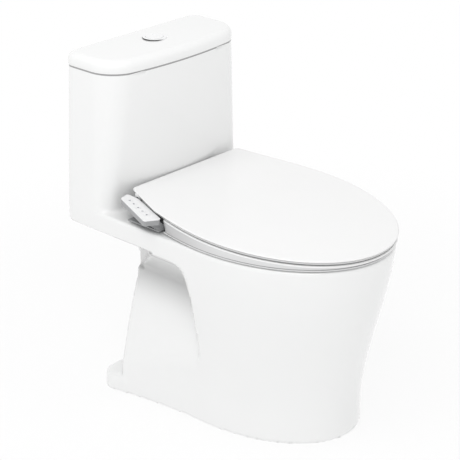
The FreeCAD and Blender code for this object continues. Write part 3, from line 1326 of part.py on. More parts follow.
save("rear_wash_nozzle", wash_nozzle(-1))
save("front_wash_nozzle", wash_nozzle(1))
save("water_heater", module_block(HEATER_BOX))
save("water_valve", module_block(VALVE_BOX))
save("panel_housing", panel_housing())
save("panel_face", panel_face())
save("control_board", control_board())
save("keypad", keypad())
for key_name, key_place in zip(KEY_NAMES, key_places()):
    save(key_name, panel_key(key_place))
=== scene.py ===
import json
import math

import bmesh
import bpy
import numpy as np
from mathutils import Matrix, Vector


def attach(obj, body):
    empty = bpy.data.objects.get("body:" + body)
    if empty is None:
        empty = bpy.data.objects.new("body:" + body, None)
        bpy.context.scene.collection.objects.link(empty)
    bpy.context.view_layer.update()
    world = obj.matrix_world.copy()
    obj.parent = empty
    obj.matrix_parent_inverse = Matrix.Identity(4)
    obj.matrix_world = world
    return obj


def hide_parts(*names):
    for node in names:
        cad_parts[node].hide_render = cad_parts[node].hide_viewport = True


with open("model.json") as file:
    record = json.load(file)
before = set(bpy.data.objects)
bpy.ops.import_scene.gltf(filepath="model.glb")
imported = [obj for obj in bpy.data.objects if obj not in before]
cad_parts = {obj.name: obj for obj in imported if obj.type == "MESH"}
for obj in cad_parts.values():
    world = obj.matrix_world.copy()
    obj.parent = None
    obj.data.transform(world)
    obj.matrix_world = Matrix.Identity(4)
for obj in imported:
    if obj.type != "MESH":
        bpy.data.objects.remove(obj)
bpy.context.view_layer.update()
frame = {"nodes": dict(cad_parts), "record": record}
nodes = frame["nodes"]
mm = 0.001  # sizes below are in millimetres, Blender's are in metres
print("frame loaded,", len(nodes), "nodes")


# shared tools

def mix(low, high, part):
    return low + (high - low) * part


def smoothStep(u):
    # three times the square less twice the cube, level at both ends
    u = np.clip(u, 0.0, 1.0)
    return u * u * (3.0 - 2.0 * u)


def addPiece(name, points, faces, body, slot, *replaced):
    # points in mm as an (n, 3) array, faces as an (m, 3) or (m, 4) array of point numbers
    mesh = bpy.data.meshes.new(name)
    count, corners = faces.shape
    mesh.vertices.add(len(points))
    mesh.vertices.foreach_set("co", np.asarray(points * mm, np.float32).ravel())
    mesh.loops.add(count * corners)
    mesh.loops.foreach_set("vertex_index", faces.astype(np.int32).ravel())
    mesh.polygons.add(count)
    mesh.polygons.foreach_set("loop_start", np.arange(0, count * corners, corners, dtype=np.int32))
    mesh.polygons.foreach_set("use_smooth", np.ones(count, dtype=bool))
    mesh.update(calc_edges=True)
    mesh.validate()
    obj = bpy.data.objects.new(name, mesh)
    bpy.context.scene.collection.objects.link(obj)
    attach(obj, body)
    if replaced:
        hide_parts(*replaced)
    print("piece", name, len(points), "points")
    return obj


def setPaintedShade(obj, values):
    # painted shade: how dark each of the piece's first points is painted, for its material; the rest stay
    # plain
    shade = obj.data.attributes.new("paintedShade", "FLOAT", "POINT")
    level = np.zeros(len(obj.data.vertices), np.float32)
    level[:len(values)] = values
    shade.data.foreach_set("value", level)


def gridFaces(rows, columns, closeRows, closeColumns):
    # quads of a rows x columns grid of points, closed round in either direction
    r = np.arange(rows if closeRows else rows - 1)
    c = np.arange(columns if closeColumns else columns - 1)
    r, c = np.meshgrid(r, c, indexing="ij")
    r2, c2 = (r + 1) % rows, (c + 1) % columns
    quads = [r * columns + c, r * columns + c2, r2 * columns + c2, r2 * columns + c]
    return np.stack([q.ravel() for q in quads], 1)


def resample(points, count):
    # the same closed line with evenly spaced points, from its first point
    loop = np.vstack([points, points[:1]])
    along = np.concatenate([[0.0], np.cumsum(np.hypot(*np.diff(loop, axis=0).T))])
    at = np.arange(count) * along[-1] / count
    return np.stack([np.interp(at, along, loop[:, k]) for k in (0, 1)], 1)


def atHeight(line, z):
    # flat points lifted to one height
    return np.column_stack([line, np.full(len(line), z)])


def bezier(poles, t):
    # cubic curve from the first pole to the last, pulled by the two between
    p0, p1, p2, p3 = (np.asarray(p, float) for p in poles)
    t = np.asarray(t)[:, None]
    return p0 * (1 - t) ** 3 + 3 * p1 * t * (1 - t) ** 2 + 3 * p2 * t * t * (1 - t) + p3 * t ** 3


# ceramic body: a distance field, negative inside the clay, whose zero surface is the glaze

ceramic = {
    "rimZ": 384.0, "rimT": 18.0, "rimEdgeR": 4.0, "wall": 11.0, "hollowR": 12.0, "floorEdgeR": 1.5,
    "deckUnderZ": 345.0, "deckEdgeR": 5.0, "deckLap": 4.0, "underR": 26.0,
    "tankFrontY": 152.0, "tankFrontLean": 14.0, "tankBackY": 285.5, "tankHalfTop": 178.0,
    "tankHalfDeck": 192.0, "bowR": 900.0, "frontCornerTopR": 62.0, "frontCornerDeckR": 38.0,
    "backCornerR": 26.0, "jointZ": 658.0, "tankEdgeR": 2.0, "tankLap": 20.0, "tankMouthR": 2.5,
    "tankFloorZ": 360.0, "tankFloorR": 14.0, "filletR": 9.0, "filletDrop": 12.0, "filletInset": 3.0,
    "skirtBackY": 152.0, "floorHalf": 156.0, "floorWidestY": -47.0, "floorFrontY": -287.0,
    "floorBackHalf": 179.0,
    "rimHalf": 191.0, "rimWidestY": -86.0, "rimFrontY": -347.0,
    "flareLowZ": 45.0, "flareHighZ": 375.0, "flareEase": 2.5,
    "footH": 36.0, "footBackY": 208.0, "footHalf": 186.0, "footCornerR": 38.0, "footFrontY": 140.0,
    "footEase": 48.0, "footInset": 1.0, "footEdgeR": 9.0, "footJoinR": 5.0,
    "archBackY": 0.0, "archTopY": -50.0, "archSide": (-48.0, 265.0), "archFootY": -54.0, "archTopR": 8.0,
    "scoopDeepZ": 262.0, "scoopDeepHalf": 120.0, "scoopMidHalf": 154.0,
    "scoopFoldR": 18.0, "scoopR": 14.0, "scoopEdgeR": 4.5,
    "reliefFrontY": 48.0, "reliefBackHalf": 116.0, "reliefEdgeR": 2.5,
    "wellBackY": 70.0, "wellFrontY": -294.0, "wellHalf": 133.0, "wellBackEase": 1.3, "wellEase": 0.6,
    "wellBottomZ": 66.0, "wellBottomY": -190.0, "wellBottomR": 34.0, "wellBottomHalf": 30.0,
    "wellFloorR": 20.0, "bowlWall": 16.0,
    "trapR": 24.0, "trapWall": 8.0, "trapBendR": 38.0, "trapCrestZ": 172.0, "trapEntry": 19.0,
    "trapEndZ": -60.0,
    "passageR": 22.0, "passageWall": 8.0, "passageLead": 9.3, "passageFront": (-8.0, 284.0),
    "valveY": 218.75, "flushHoleR": 31.0, "holeDrop": 30.0, "holeRise": 5.0,
    "gussetHalf": 114.0, "gussetReach": 49.0, "gussetDrop": 78.0, "gussetR": 14.0,
    "gussetLap": (10.0, 20.0),
    "webFrontY": 100.0, "webLap": 5.0, "braceR": 8.0, "braceJoinR": 3.0,
    # painted shade in the glaze: how dark the side hollows and the space under the deck are painted
    "shadeFold": 0.5, "shadeUnder": 0.82, "shadeReach": 72.0, "shadeRoofLoss": 0.45,
    "shadeSoft": 4.0, "shadeNearScoop": 5.2, "shadeNearDeck": 6.0,
    "cell": 6.2, "fineCell": 3.0,
}


def roundMax(a, b, r):
    # intersection of two fields with its edge rounded to radius r
    u, v = np.maximum(r + a, 0.0), np.maximum(r + b, 0.0)
    return np.minimum(-r, np.maximum(a, b)) + np.hypot(u, v)


def roundMin(a, b, r):
    # union of two fields with its corner filled to radius r
    return -roundMax(-a, -b, r)


def capsule(x, y, z, a, b, r):
    # distance to a straight tube with round ends, in the middle plane x = 0
    dy, dz = b[0] - a[0], b[1] - a[1]
    t = np.clip(((y - a[0]) * dy + (z - a[1]) * dz) / (dy * dy + dz * dz), 0.0, 1.0)
    return np.sqrt(x * x + (y - a[0] - t * dy) ** 2 + (z - a[1] - t * dz) ** 2) - r


def ellipseDistance(x, y, halfX, halfY):
    # how far a point's ellipse has outgrown the given one, over how fast it grows there
    k = np.hypot(x / halfX, y / halfY)
    slope = np.hypot(x / halfX ** 2, y / halfY ** 2) / np.maximum(k, 1e-6)
    return (k - 1.0) / np.maximum(slope, 1e-6)


def skirtPlan(x, y, z):
    # half ellipse ahead of the widest line and a cubic side behind it,
    # both grown with height by a flare that starts softly
    c = ceramic
    u = np.clip((z - c["flareLowZ"]) / (c["flareHighZ"] - c["flareLowZ"]), 0.0, 1.0)
    s = u * u * (c["flareEase"] - (c["flareEase"] - 1.0) * u)
    half = mix(c["floorHalf"], c["rimHalf"], s)
    widest = mix(c["floorWidestY"], c["rimWidestY"], s)
    front = mix(c["floorFrontY"], c["rimFrontY"], s)
    backHalf = mix(c["floorBackHalf"], c["tankHalfDeck"], s)
    t = np.clip((y - widest) / (c["skirtBackY"] - widest), 0.0, 1.0)
    side = half * ((1 - t) ** 3 + 3 * t * (1 - t) ** 2)
    side = side + (backHalf + 0.5 * (half - backHalf)) * 3 * t * t * (1 - t) + backHalf * t ** 3
    nose = ellipseDistance(x, y - widest, half, widest - front)
    return np.where(y < widest, nose, np.abs(x) - side)


def circleThrough(a, b, c):
    # centre and radius of the circle through three points of a plane
    (ax, ay), (bx, by), (cx, cy) = a, b, c
    d = 2.0 * (ax * (by - cy) + bx * (cy - ay) + cx * (ay - by))
    a2, b2, c2 = ax * ax + ay * ay, bx * bx + by * by, cx * cx + cy * cy
    x = (a2 * (by - cy) + b2 * (cy - ay) + c2 * (ay - by)) / d
    y = (a2 * (cx - bx) + b2 * (ax - cx) + c2 * (bx - ax)) / d
    return x, y, math.hypot(ax - x, ay - y)


def scoopField(x, y, z):
    # side hollow: behind an arch seen from the side, outside a leaning round wall and under a sloping roof
    c = ceramic
    deepX, deepZ = c["scoopDeepHalf"], c["scoopDeepZ"]
    middle = c["scoopMidHalf"], 0.5 * (c["footH"] + deepZ)
    wallX, wallZ, wallR = circleThrough((c["floorBackHalf"], c["footH"]), middle, (deepX, deepZ))
    wall = wallR - np.hypot(np.abs(x) - wallX, z - wallZ)
    runX, runZ = c["rimHalf"] - deepX, c["deckUnderZ"] - deepZ
    roof = ((z - deepZ) * runX - (np.abs(x) - deepX) * runZ) / math.hypot(runX, runZ)
    leaning = roundMax(wall, roof, c["scoopFoldR"])
    poles = [(c["archBackY"], c["deckUnderZ"]), (c["archTopY"], c["deckUnderZ"])]
    poles += [c["archSide"], (c["archFootY"], c["footH"])]
    arch = bezier(poles, np.linspace(0.0, 1.0, 80))[::-1]
    edge = np.interp(z, arch[:, 1], arch[:, 0])
    slope = np.clip(np.gradient(arch[:, 0], arch[:, 1]), -3.0, 3.0)
    arched = (edge - y) / np.sqrt(1.0 + np.interp(z, arch[:, 1], slope) ** 2)
    arched = roundMax(arched, z - c["deckUnderZ"], c["archTopR"])
    return roundMax(leaning, arched, c["scoopR"])


def reliefField(x, y, z):
    # space under the deck behind the scoop's roof, outside a slanting upright plane
    c = ceramic
    runX, runY = c["rimHalf"] - c["reliefBackHalf"], c["skirtBackY"] - c["reliefFrontY"]
    plane = ((c["rimHalf"] - np.abs(x)) * runY - (y - c["reliefFrontY"]) * runX) / math.hypot(runX, runY)
    return np.maximum(np.maximum(plane, z - c["deckUnderZ"]), c["scoopDeepZ"] - z)


def wellField(x, y, z):
    # bowl: ellipses that open from the sump to the rim, steep at the back
    c = ceramic
    u = np.clip((z - c["wellBottomZ"]) / (c["rimZ"] - c["wellBottomZ"]), 0.0, 1.0)
    rear = mix(c["wellBottomY"] + c["wellBottomR"], c["wellBackY"], smoothStep(u ** c["wellBackEase"]))
    front = mix(c["wellBottomY"] - c["wellBottomR"], c["wellFrontY"], u ** c["wellEase"])
    half = mix(c["wellBottomHalf"], c["wellHalf"], u ** c["wellEase"])
    plan = ellipseDistance(x, y - 0.5 * (rear + front), half, 0.5 * (rear - front))
    return roundMax(plan, c["wellBottomZ"] - z, c["wellFloorR"])


def trapField(x, y, z, r):
    # a tube from the sump up a slanting leg, over the bend at the crest and down through the floor
    c = ceramic
    bend = c["trapBendR"]
    centreZ = c["trapCrestZ"] - bend
    turns = np.radians([135.0, 101.0, 67.0, 33.0, 0.0])
    path = [(-bend + bend * math.cos(a), centreZ + bend * math.sin(a)) for a in turns]
    leg = path[0][0] - c["wellBottomY"] - c["trapEntry"]
    path = [(path[0][0] - leg, path[0][1] - leg)] + path + [(0.0, c["trapEndZ"])]
    tubes = [capsule(x, y, z, a, b, r) for a, b in zip(path[:-1], path[1:])]
    return np.minimum.reduce(tubes)


def tankPlan(x, y, z):
    # flat back, bowed front and leaning sides;
    # within the front corners it is the distance to the corner's arc
    c = ceramic
    rise = np.clip((z - c["rimZ"]) / (c["jointZ"] - c["rimZ"]), 0.0, 1.2)
    half = mix(c["tankHalfDeck"], c["tankHalfTop"], rise)
    r = mix(c["frontCornerDeckR"], c["frontCornerTopR"], rise)
    bowY = c["tankFrontY"] - c["tankFrontLean"] * rise + c["bowR"]
    cornerY = bowY - np.sqrt((c["bowR"] - r) ** 2 - (half - r) ** 2)
    out, ahead = np.abs(x) - half + r, cornerY - y
    inCorner = (ahead > 0) & (out * (bowY - cornerY) > ahead * (half - r))
    sides = roundMax(np.abs(x) - half, y - c["tankBackY"], c["backCornerR"])
    straight = np.maximum(sides, np.hypot(x, y - bowY) - c["bowR"])
    return np.where(inCorner, np.hypot(out, ahead) - r, straight)


def deckField(y, z, plan):
    # the plan between the deck's underside and the rim, with a larger round along its lower back edge
    c = ceramic
    deck = roundMax(plan, c["deckUnderZ"] - z, c["deckEdgeR"])
    deck = np.maximum(deck, roundMax(y - c["tankBackY"], c["deckUnderZ"] - z, c["underR"]))
    return roundMax(deck, z - c["rimZ"], c["rimEdgeR"])


def footField(x, y, z):
    # low plinth behind the skirt, a little wider than it
    c = ceramic
    ease = smoothStep((y - c["footFrontY"]) / c["footEase"])
    half = mix(c["floorBackHalf"] - c["footInset"], c["footHalf"], ease)
    foot = roundMax(np.abs(x) - half, y - c["footBackY"], c["footCornerR"])
    return roundMax(np.maximum(foot, c["footFrontY"] - y), z - c["footH"], c["footEdgeR"])


def passageEnds():
    # middle line of the flush passage, from below the valve to the back of the bowl
    c = ceramic
    return (c["valveY"] + c["passageLead"], c["deckUnderZ"] - c["passageR"]), c["passageFront"]


def braceField(x, y, z):
    # sloping gusset between skirt and deck, and the web that carries the flush passage
    c = ceramic
    reach, drop = c["gussetReach"], c["gussetDrop"]
    slope = (y - c["skirtBackY"]) * drop + (c["deckUnderZ"] - drop - z) * reach
    slope = slope / math.hypot(reach, drop)
    lapUp, lapAhead = c["gussetLap"]
    gusset = roundMax(np.abs(x) - c["gussetHalf"], slope, c["gussetR"])
    gusset = np.maximum(gusset, z - c["deckUnderZ"] - lapUp)
    gusset = np.maximum(gusset, c["skirtBackY"] - lapAhead - y)
    web = capsule(x, y, z, *passageEnds(), c["flushHoleR"] + c["passageWall"])
    web = np.maximum(web, z - c["deckUnderZ"] - c["webLap"])
    return roundMin(gusset, np.maximum(web, c["webFrontY"] - y), c["braceR"])


def ceramicField(x, y, z):
    # union of the outer forms less the hollow under the bowl, the bowl, the water ways and the tank's inside
    c = ceramic
    sides = np.maximum(skirtPlan(x, y, z), y - c["skirtBackY"])
    column = roundMax(sides, -scoopField(x, y, z), c["scoopEdgeR"])
    column = roundMax(column, -reliefField(x, y, z), c["reliefEdgeR"])
    bowl = roundMax(column, z - c["rimZ"], c["rimEdgeR"])
    deckPlan = roundMax(np.abs(x) - c["tankHalfDeck"], y - c["tankBackY"], c["backCornerR"])
    deckPlan = np.maximum(deckPlan, c["skirtBackY"] - c["deckLap"] - y)
    plan = tankPlan(x, y, z)
    tank = np.maximum(roundMax(plan, z - c["jointZ"], c["tankEdgeR"]), c["deckUnderZ"] + c["tankLap"] - z)
    fillet = roundMin(plan, z - c["rimZ"], c["filletR"])
    fillet = np.maximum(fillet, np.minimum(deckPlan, sides) + c["filletInset"])
    fillet = np.maximum(fillet, c["rimZ"] - c["filletDrop"] - z)
    outer = np.minimum(np.minimum(bowl, deckField(y, z, deckPlan)), np.minimum(tank, fillet))
    outer = roundMin(outer, footField(x, y, z), c["footJoinR"])
    outer = roundMin(outer, braceField(x, y, z), c["braceJoinR"])
    well, passage = wellField(x, y, z), passageEnds()
    hollow = roundMax(column + c["wall"], z - c["rimZ"] + c["rimT"], c["hollowR"])
    hollow = np.maximum(hollow, c["bowlWall"] - well)
    hollow = np.maximum(hollow, -trapField(x, y, z, c["trapR"] + c["trapWall"]))
    hollow = np.maximum(hollow, -capsule(x, y, z, *passage, c["passageR"] + c["passageWall"]))
    clay = np.maximum(outer, -hollow)
    clay = roundMax(clay, -well, c["rimEdgeR"])
    clay = np.maximum(clay, -trapField(x, y, z, c["trapR"]))
    clay = np.maximum(clay, -capsule(x, y, z, *passage, c["passageR"]))
    inside = roundMax(plan + c["wall"], c["tankFloorZ"] - z, c["tankFloorR"])
    clay = roundMax(clay, -inside, c["tankMouthR"])
    hole = np.maximum(np.hypot(x, y - c["valveY"]) - c["flushHoleR"], c["deckUnderZ"] - c["holeDrop"] - z)
    clay = np.maximum(clay, -np.maximum(hole, z - c["tankFloorZ"] - c["holeRise"]))
    return roundMax(clay, -z, c["floorEdgeR"])


def paintedHollowShade(x, y, z):
    # painted shade: how dark a point of the glaze is painted in a side hollow:
    # most at the fold between wall and roof, and under the deck
    c = ceramic
    deepZ, underZ, soft = c["scoopDeepZ"], c["deckUnderZ"], c["shadeSoft"]
    below = np.clip((z - deepZ + c["shadeReach"]) / c["shadeReach"], 0.0, 1.0) ** 2
    above = 1.0 - c["shadeRoofLoss"] * smoothStep((z - deepZ) / (underZ - deepZ))
    inScoop = smoothStep((c["shadeNearScoop"] - scoopField(x, y, z)) / soft)
    inScoop = inScoop * np.where(z < deepZ, below, above)
    inScoop = inScoop * (np.abs(x) > c["scoopDeepHalf"] - c["scoopR"])  # not in the bowl
    underDeck = smoothStep((c["shadeNearDeck"] - reliefField(x, y, z)) / soft)
    underDeck = underDeck * smoothStep((underZ + 0.5 * soft - z) / soft) * (y < c["skirtBackY"] + 1.0)
    return np.maximum(inScoop * c["shadeFold"], underDeck * c["shadeUnder"])


def slopeOf(field, points, step=0.05):
    # difference across a short step along each axis
    sides = []
    for k in range(3):
        shift = np.zeros(3)
        shift[k] = step
        sides.append((field(*(points + shift).T) - field(*(points - shift).T)) / (2 * step))
    return np.stack(sides, 1)


def toSurface(field, points, turns, reach):
    # Newton steps along the slope, each no longer than reach
    for _ in range(turns):
        slope = slopeOf(field, points)
        step = field(*points.T)[:, None] * slope / np.maximum((slope ** 2).sum(1), 0.05)[:, None]
        length = np.linalg.norm(step, axis=1)[:, None]
        points = points - step * np.minimum(1.0, reach / np.maximum(length, 1e-9))
    return points


def fieldSurface(field, xs, ys, zs, relax):
    # one point in each grid cell that the surface crosses, at the mean of its edge crossings,
    # and one quad round each grid edge whose two ends lie on different sides
    value = field(*np.meshgrid(xs, ys, zs, indexing="ij"))
    inner = value < 0
    shape = tuple(n - 1 for n in value.shape)
    total, hits = np.zeros(shape + (3,)), np.zeros(shape)
    axes = (xs, ys, zs)

    def part(array, offset):
        return array[tuple(slice(o, o + n) for o, n in zip(offset, shape))]

    for k in range(3):
        others = [i for i in range(3) if i != k]
        for p in (0, 1):
            for q in (0, 1):
                start, end = [0, 0, 0], [0, 0, 0]
                start[others[0]] = end[others[0]] = p
                start[others[1]] = end[others[1]] = q
                end[k] = 1
                a, b = part(value, start), part(value, end)
                crossing = (a < 0) != (b < 0)
                t = np.where(crossing, a / np.where(crossing, a - b, 1.0), 0.0)
                for i in range(3):
                    line = axes[i]
                    view = [None, None, None]
                    view[i] = slice(None)
                    first = line[start[i]:start[i] + shape[i]][tuple(view)]
                    last = line[end[i]:end[i] + shape[i]][tuple(view)]
                    total[..., i] += crossing * (first + t * (last - first))
                hits += crossing
    number = np.full(shape, -1)
    used = hits > 0
    number[used] = np.arange(used.sum())
    points = total[used] / hits[used][:, None]
    quads = []
    for k in range(3):
        i, j = [n for n in range(3) if n != k]
        a = inner[tuple(slice(0, -1) if n == k else slice(1, -1) for n in range(3))]
        b = inner[tuple(slice(1, None) if n == k else slice(1, -1) for n in range(3))]
        at = np.argwhere(a != b)
        outward = a[tuple(at.T)]
        at[:, i] += 1
        at[:, j] += 1
        ring = []
        for di, dj in ((1, 1), (0, 1), (0, 0), (1, 0)):
            cell = at.copy()
            cell[:, i] -= di
            cell[:, j] -= dj
            ring.append(number[tuple(cell.T)])
        ring = np.stack(ring, 1)
        flip = outward if k != 1 else ~outward
        quads.append(np.where(flip[:, None], ring, ring[:, ::-1]))
    quads = np.vstack(quads)
    reach = 0.6 * ceramic["cell"]
    points = toSurface(field, points, 3, reach)
    pairs = np.vstack([quads[:, [n, (n + 1) % 4]] for n in range(4)])
    for _ in range(relax):
        mean, links = np.zeros_like(points), np.zeros(len(points))
        for a, b in ((0, 1), (1, 0)):
            np.add.at(mean, pairs[:, a], points[pairs[:, b]])
            np.add.at(links, pairs[:, a], 1)
        points = mix(points, mean / links[:, None], 0.5)
        points = toSurface(field, points, 1, reach)
    return toSurface(field, points, 2, reach), quads


def gridLine(low, high, step, fine=(), fineStep=0.0):
    # grid positions that are closer together round the places named in fine
    places = [low]
    while places[-1] < high:
        close = any(abs(places[-1] - f) < 2.0 * step for f in fine)
        places.append(places[-1] + (fineStep if close else step))
    return np.array(places)


def makeCeramic():
    c = ceramic
    cell, fine = c["cell"], c["fineCell"]
    xs = gridLine(0.5 * cell, c["rimHalf"] + 2 * cell, cell)
    xs = np.concatenate([-xs[::-1], xs])
    ys = gridLine(c["rimFrontY"] - 2 * cell, c["tankBackY"] + 2 * cell, cell)
    zs = gridLine(-cell, c["jointZ"] + 2 * cell, cell, (c["rimZ"] - fine, c["deckUnderZ"] + fine), fine)
    points, quads = fieldSurface(ceramicField, xs, ys, zs, 4)
    obj = addPiece("ceramicBody", points, quads, "toilet", "glazed_ceramic", "ceramic_body")
    # painted shade in the side hollows and under the deck, kept on the body's points
    setPaintedShade(obj, paintedHollowShade(*points.T))
    return obj


bodyPiece = makeCeramic()


# tank outline and tank lid

tankLid = {
    "lowZ": 658.3, "topZ": 685.0, "underZ": 672.0, "overhang": 0.8, "edgeR": 15.0, "lowEdgeR": 1.0,
    "edgeBreak": 0.6, "slotH": 2.2, "slotW": 8.0, "slotR": 0.4,
    "lipInset": 13.5, "lipT": 6.0, "lipZ": 648.3, "lipR": 1.0, "lipRootR": 2.0,
    "flatInset": 20.0, "mostInset": 24.0, "middleInset": 40.0, "middleScale": 0.86,
    "holeR": 20.3, "count": 240,
}


def tankOutline(inset):
    # the tank's plan at the joint as a closed line from the middle of its bowed front, with round corners
    c = ceramic
    half, back = c["tankHalfTop"] - inset, c["tankBackY"] - inset
    front, bow = c["tankFrontY"] - c["tankFrontLean"] + inset, c["bowR"] - inset
    rFront, rBack = c["frontCornerTopR"] - inset, c["backCornerR"] - inset
    bowY = front + bow
    cornerY = bowY - math.sqrt((bow - rFront) ** 2 - (half - rFront) ** 2)
    lean = math.atan2(half - rFront, bowY - cornerY)
    turn = np.linspace(0.0, lean, 24)[:, None]
    nose = np.hstack([bow * np.sin(turn), bowY - bow * np.cos(turn)])
    turn = np.linspace(lean, 0.5 * math.pi, 16)[1:, None]
    corner = np.hstack([half - rFront + rFront * np.sin(turn), cornerY - rFront * np.cos(turn)])
    turn = np.linspace(0.0, 0.5 * math.pi, 12)[:, None]
    rear = np.hstack([half - rBack + rBack * np.cos(turn), back - rBack + rBack * np.sin(turn)])
    right = np.vstack([nose, corner, rear])
    left = right[::-1] * (-1.0, 1.0)
    return np.vstack([right, left[:-1]])


def arc(centreA, centreZ, r, start, end, steps):
    # points of a circle between two angles in degrees
    a = np.radians(np.linspace(start, end, steps))
    return [(centreA + r * math.cos(t), centreZ + r * math.sin(t)) for t in a]


def makeTankLid():
    # a closed section of (inset, height) carried round the outline; past the lip it blends to the button hole
    p = tankLid
    over, top, low, under = p["overhang"], p["topZ"], p["lowZ"], p["underZ"]
    edgeR, lowR, lipR, cut = p["edgeR"], p["lowEdgeR"], p["lipR"], p["edgeBreak"]
    section = [(p["middleInset"], top), (p["flatInset"], top)]
    section += [(-a, z) for a, z in arc(over - edgeR, top - edgeR, edgeR, 90.0, 0.0, 9)]
    edgeZ = low + p["slotH"]
    section += [(-a, z) for a, z in arc(over - lowR, edgeZ + lowR, lowR, 0.0, -90.0, 4)]
    slotW, slotR = p["slotW"], p["slotR"]
    section += [(slotW - cut, edgeZ), (slotW, edgeZ - slotR), (slotW + slotR, low)]
    lip, lipEnd = p["lipInset"], p["lipInset"] + p["lipT"]
    section += [(lip - cut, low), (lip, low - cut), (lip, p["lipZ"] + lipR), (lip + lipR, p["lipZ"])]
    section += [(lipEnd - lipR, p["lipZ"]), (lipEnd, p["lipZ"] + lipR)]
    section += [(lipEnd, under - p["lipRootR"]), (lipEnd + p["lipRootR"], under), (p["middleInset"], under)]
    rows = []
    centre = np.array([0.0, ceramic["valveY"]])
    for inset, z in section:
        line = resample(tankOutline(min(inset, p["mostInset"])), p["count"])
        if inset > p["mostInset"]:
            line = centre + (line - centre) * p["middleScale"]
        rows.append(atHeight(line, z))
    angle = np.arctan2(rows[0][:, 1] - centre[1], rows[0][:, 0])
    hole = centre + p["holeR"] * np.stack([np.cos(angle), np.sin(angle)], 1)
    upper, lower = rows[0][:, :2], rows[-1][:, :2]
    rows += [atHeight(mix(lower, hole, part), under) for part in (0.4, 0.75, 1.0)]
    rows.append(atHeight(hole, top - cut))
    rows += [atHeight(mix(upper, hole, part), top) for part in (0.94, 0.75, 0.4)]
    faces = gridFaces(len(rows), p["count"], True, True)
    return addPiece("tankLid", np.vstack(rows), faces, "tank_lid", "glazed_ceramic", "tank_lid")


tankLidPiece = makeTankLid()


# seat lid and seat ring

seat = {
    "backY": 146.0, "backZ": 434.0, "frontY": -352.0, "tilt": 3.1034, "half": 195.5, "widestY": -86.0,
    "backHalf": 157.5, "backLean": 0.18, "cornerR": 9.0, "cornerLeastR": 2.0,
    "notchHalf": 140.0, "notchSlope": 0.3822, "notchBlend": 5.0,
    "edgeT": 8.4, "edgeDraft": 2.0, "edgeR": 3.0, "lowEdgeR": 1.0, "skinT": 3.0, "skinR": 1.0,
    "rimW": 6.0, "rimBreak": 0.8, "crown": 1.2, "spine": (-190.0, 30.0),
    "inset": 2.0, "lowZ": 387.0, "drop": 11.5, "ringBackY": 26.0, "ringMiddleY": -150.0,
    "backCorner": (12.0, 14.0), "backCornerIn": 2.0, "ringEdgeR": 3.0, "sideDraft": 4.5, "draftShare": 0.87,
    "holeHalf": 104.0, "holeBackY": -15.0, "holeFrontY": -285.0, "holeEdgeR": 8.0, "holeDraft": 0.3,
    "shell": 3.0, "grooveH": 4.0, "bevel": 1.5, "flat": 0.01,
    "hingeY": 119.0, "hingeZ": 420.5, "armBevel": 0.6, "armEndScale": 0.94,
    "seatArm": (120.0, 134.0), "seatArmR": 6.5, "seatArmLowZ": 400.0, "seatArmLap": 1.5,
    "lidArm": (136.0, 150.0), "lidArmR": 7.5, "lidArmLap": (1.5, 2.3),
    # painted shade on the ring's side, growing from shadeFrontY back to the hinge
    "sideShade": 0.3, "shadeFrontY": -160.0, "count": 256,
}


def lidOutline(inset):
    # half ellipse in front, cubic sides and a straight back with round corners;
    # the panel side (-x) is cut back
    s = seat
    half, widest, back = s["half"] - inset, s["widestY"], s["backY"] - inset
    front, backHalf = s["frontY"] + inset, s["backHalf"] - inset
    reach = (back - widest) / 3.0
    turn = np.linspace(0.0, 0.5 * math.pi, 60)[:, None]
    nose = np.hstack([half * np.sin(turn), widest - (widest - front) * np.cos(turn)])
    poles = [(half, widest), (half, widest + reach)]
    poles += [(backHalf + s["backLean"] * reach, back - reach), (backHalf, back)]
    r = max(s["cornerR"] - inset, s["cornerLeastR"])
    t = np.linspace(0.0, 1.0, 10)[1:, None]
    halves = []
    for notched in (False, True):
        side = bezier(poles, np.linspace(0.0, 1.0, 60)[1:])
        if notched:
            line = s["notchHalf"] + (s["backY"] - side[:, 1]) * s["notchSlope"]
            line -= inset * math.hypot(1.0, s["notchSlope"])
            side[:, 0] = roundMin(side[:, 0], line, s["notchBlend"])
        corner = side[-1]
        side = side[side[:, 1] < back - r]
        bend = side[-1] * (1 - t) ** 2 + 2 * corner * t * (1 - t) + (corner - (r, 0.0)) * t * t
        halves.append(np.vstack([nose, side, bend]))
    return np.vstack([halves[0], (halves[1][::-1] * (-1.0, 1.0))[:-1]])


def tilted(points):
    # turned about the lid's back edge
    s = seat
    a = math.radians(s["tilt"])
    y, z = points[:, 1] - s["backY"], points[:, 2] - s["backZ"]
    return np.column_stack([points[:, 0], s["backY"] + y * math.cos(a) - z * math.sin(a),
                            s["backZ"] + y * math.sin(a) + z * math.cos(a)])


def armMesh(outline, x0, x1):
    # a flat outline in (y, z), swept across x with a narrow bevel at both ends and closed by a fan
    edge, end = seat["armBevel"], seat["armEndScale"]
    middle = outline.mean(0)
    rows = []
    for x, scale in ((x0, 0.0), (x0, end), (x0 + edge, 1.0), (x1 - edge, 1.0), (x1, end), (x1, 0.0)):
        line = middle + (outline - middle) * scale
        rows.append(np.column_stack([np.full(len(line), x), line]))
    return np.vstack(rows), gridFaces(len(rows), len(outline), False, True)


def joinMeshes(meshes):
    # several point and face arrays as one, with the faces renumbered
    points, faces, start = [], [], 0
    for p, f in meshes:
        points.append(p)
        faces.append(f + start)
        start += len(p)
    return np.vstack(points), np.vstack(faces)


def weld(obj, distance):
    # closes poles and seams and turns all faces outwards
    work = bmesh.new()
    work.from_mesh(obj.data)
    bmesh.ops.remove_doubles(work, verts=work.verts, dist=distance)
    bmesh.ops.dissolve_degenerate(work, edges=work.edges, dist=distance)
    bmesh.ops.recalc_face_normals(work, faces=work.faces)
    work.to_mesh(obj.data)
    work.free()
    for face in obj.data.polygons:
        face.use_smooth = True
    return obj


def bothSides(span, outline):
    # a hinge arm on either side of the middle
    left = -span[1], -span[0]
    return [armMesh(outline, *ends) for ends in (span, left)]


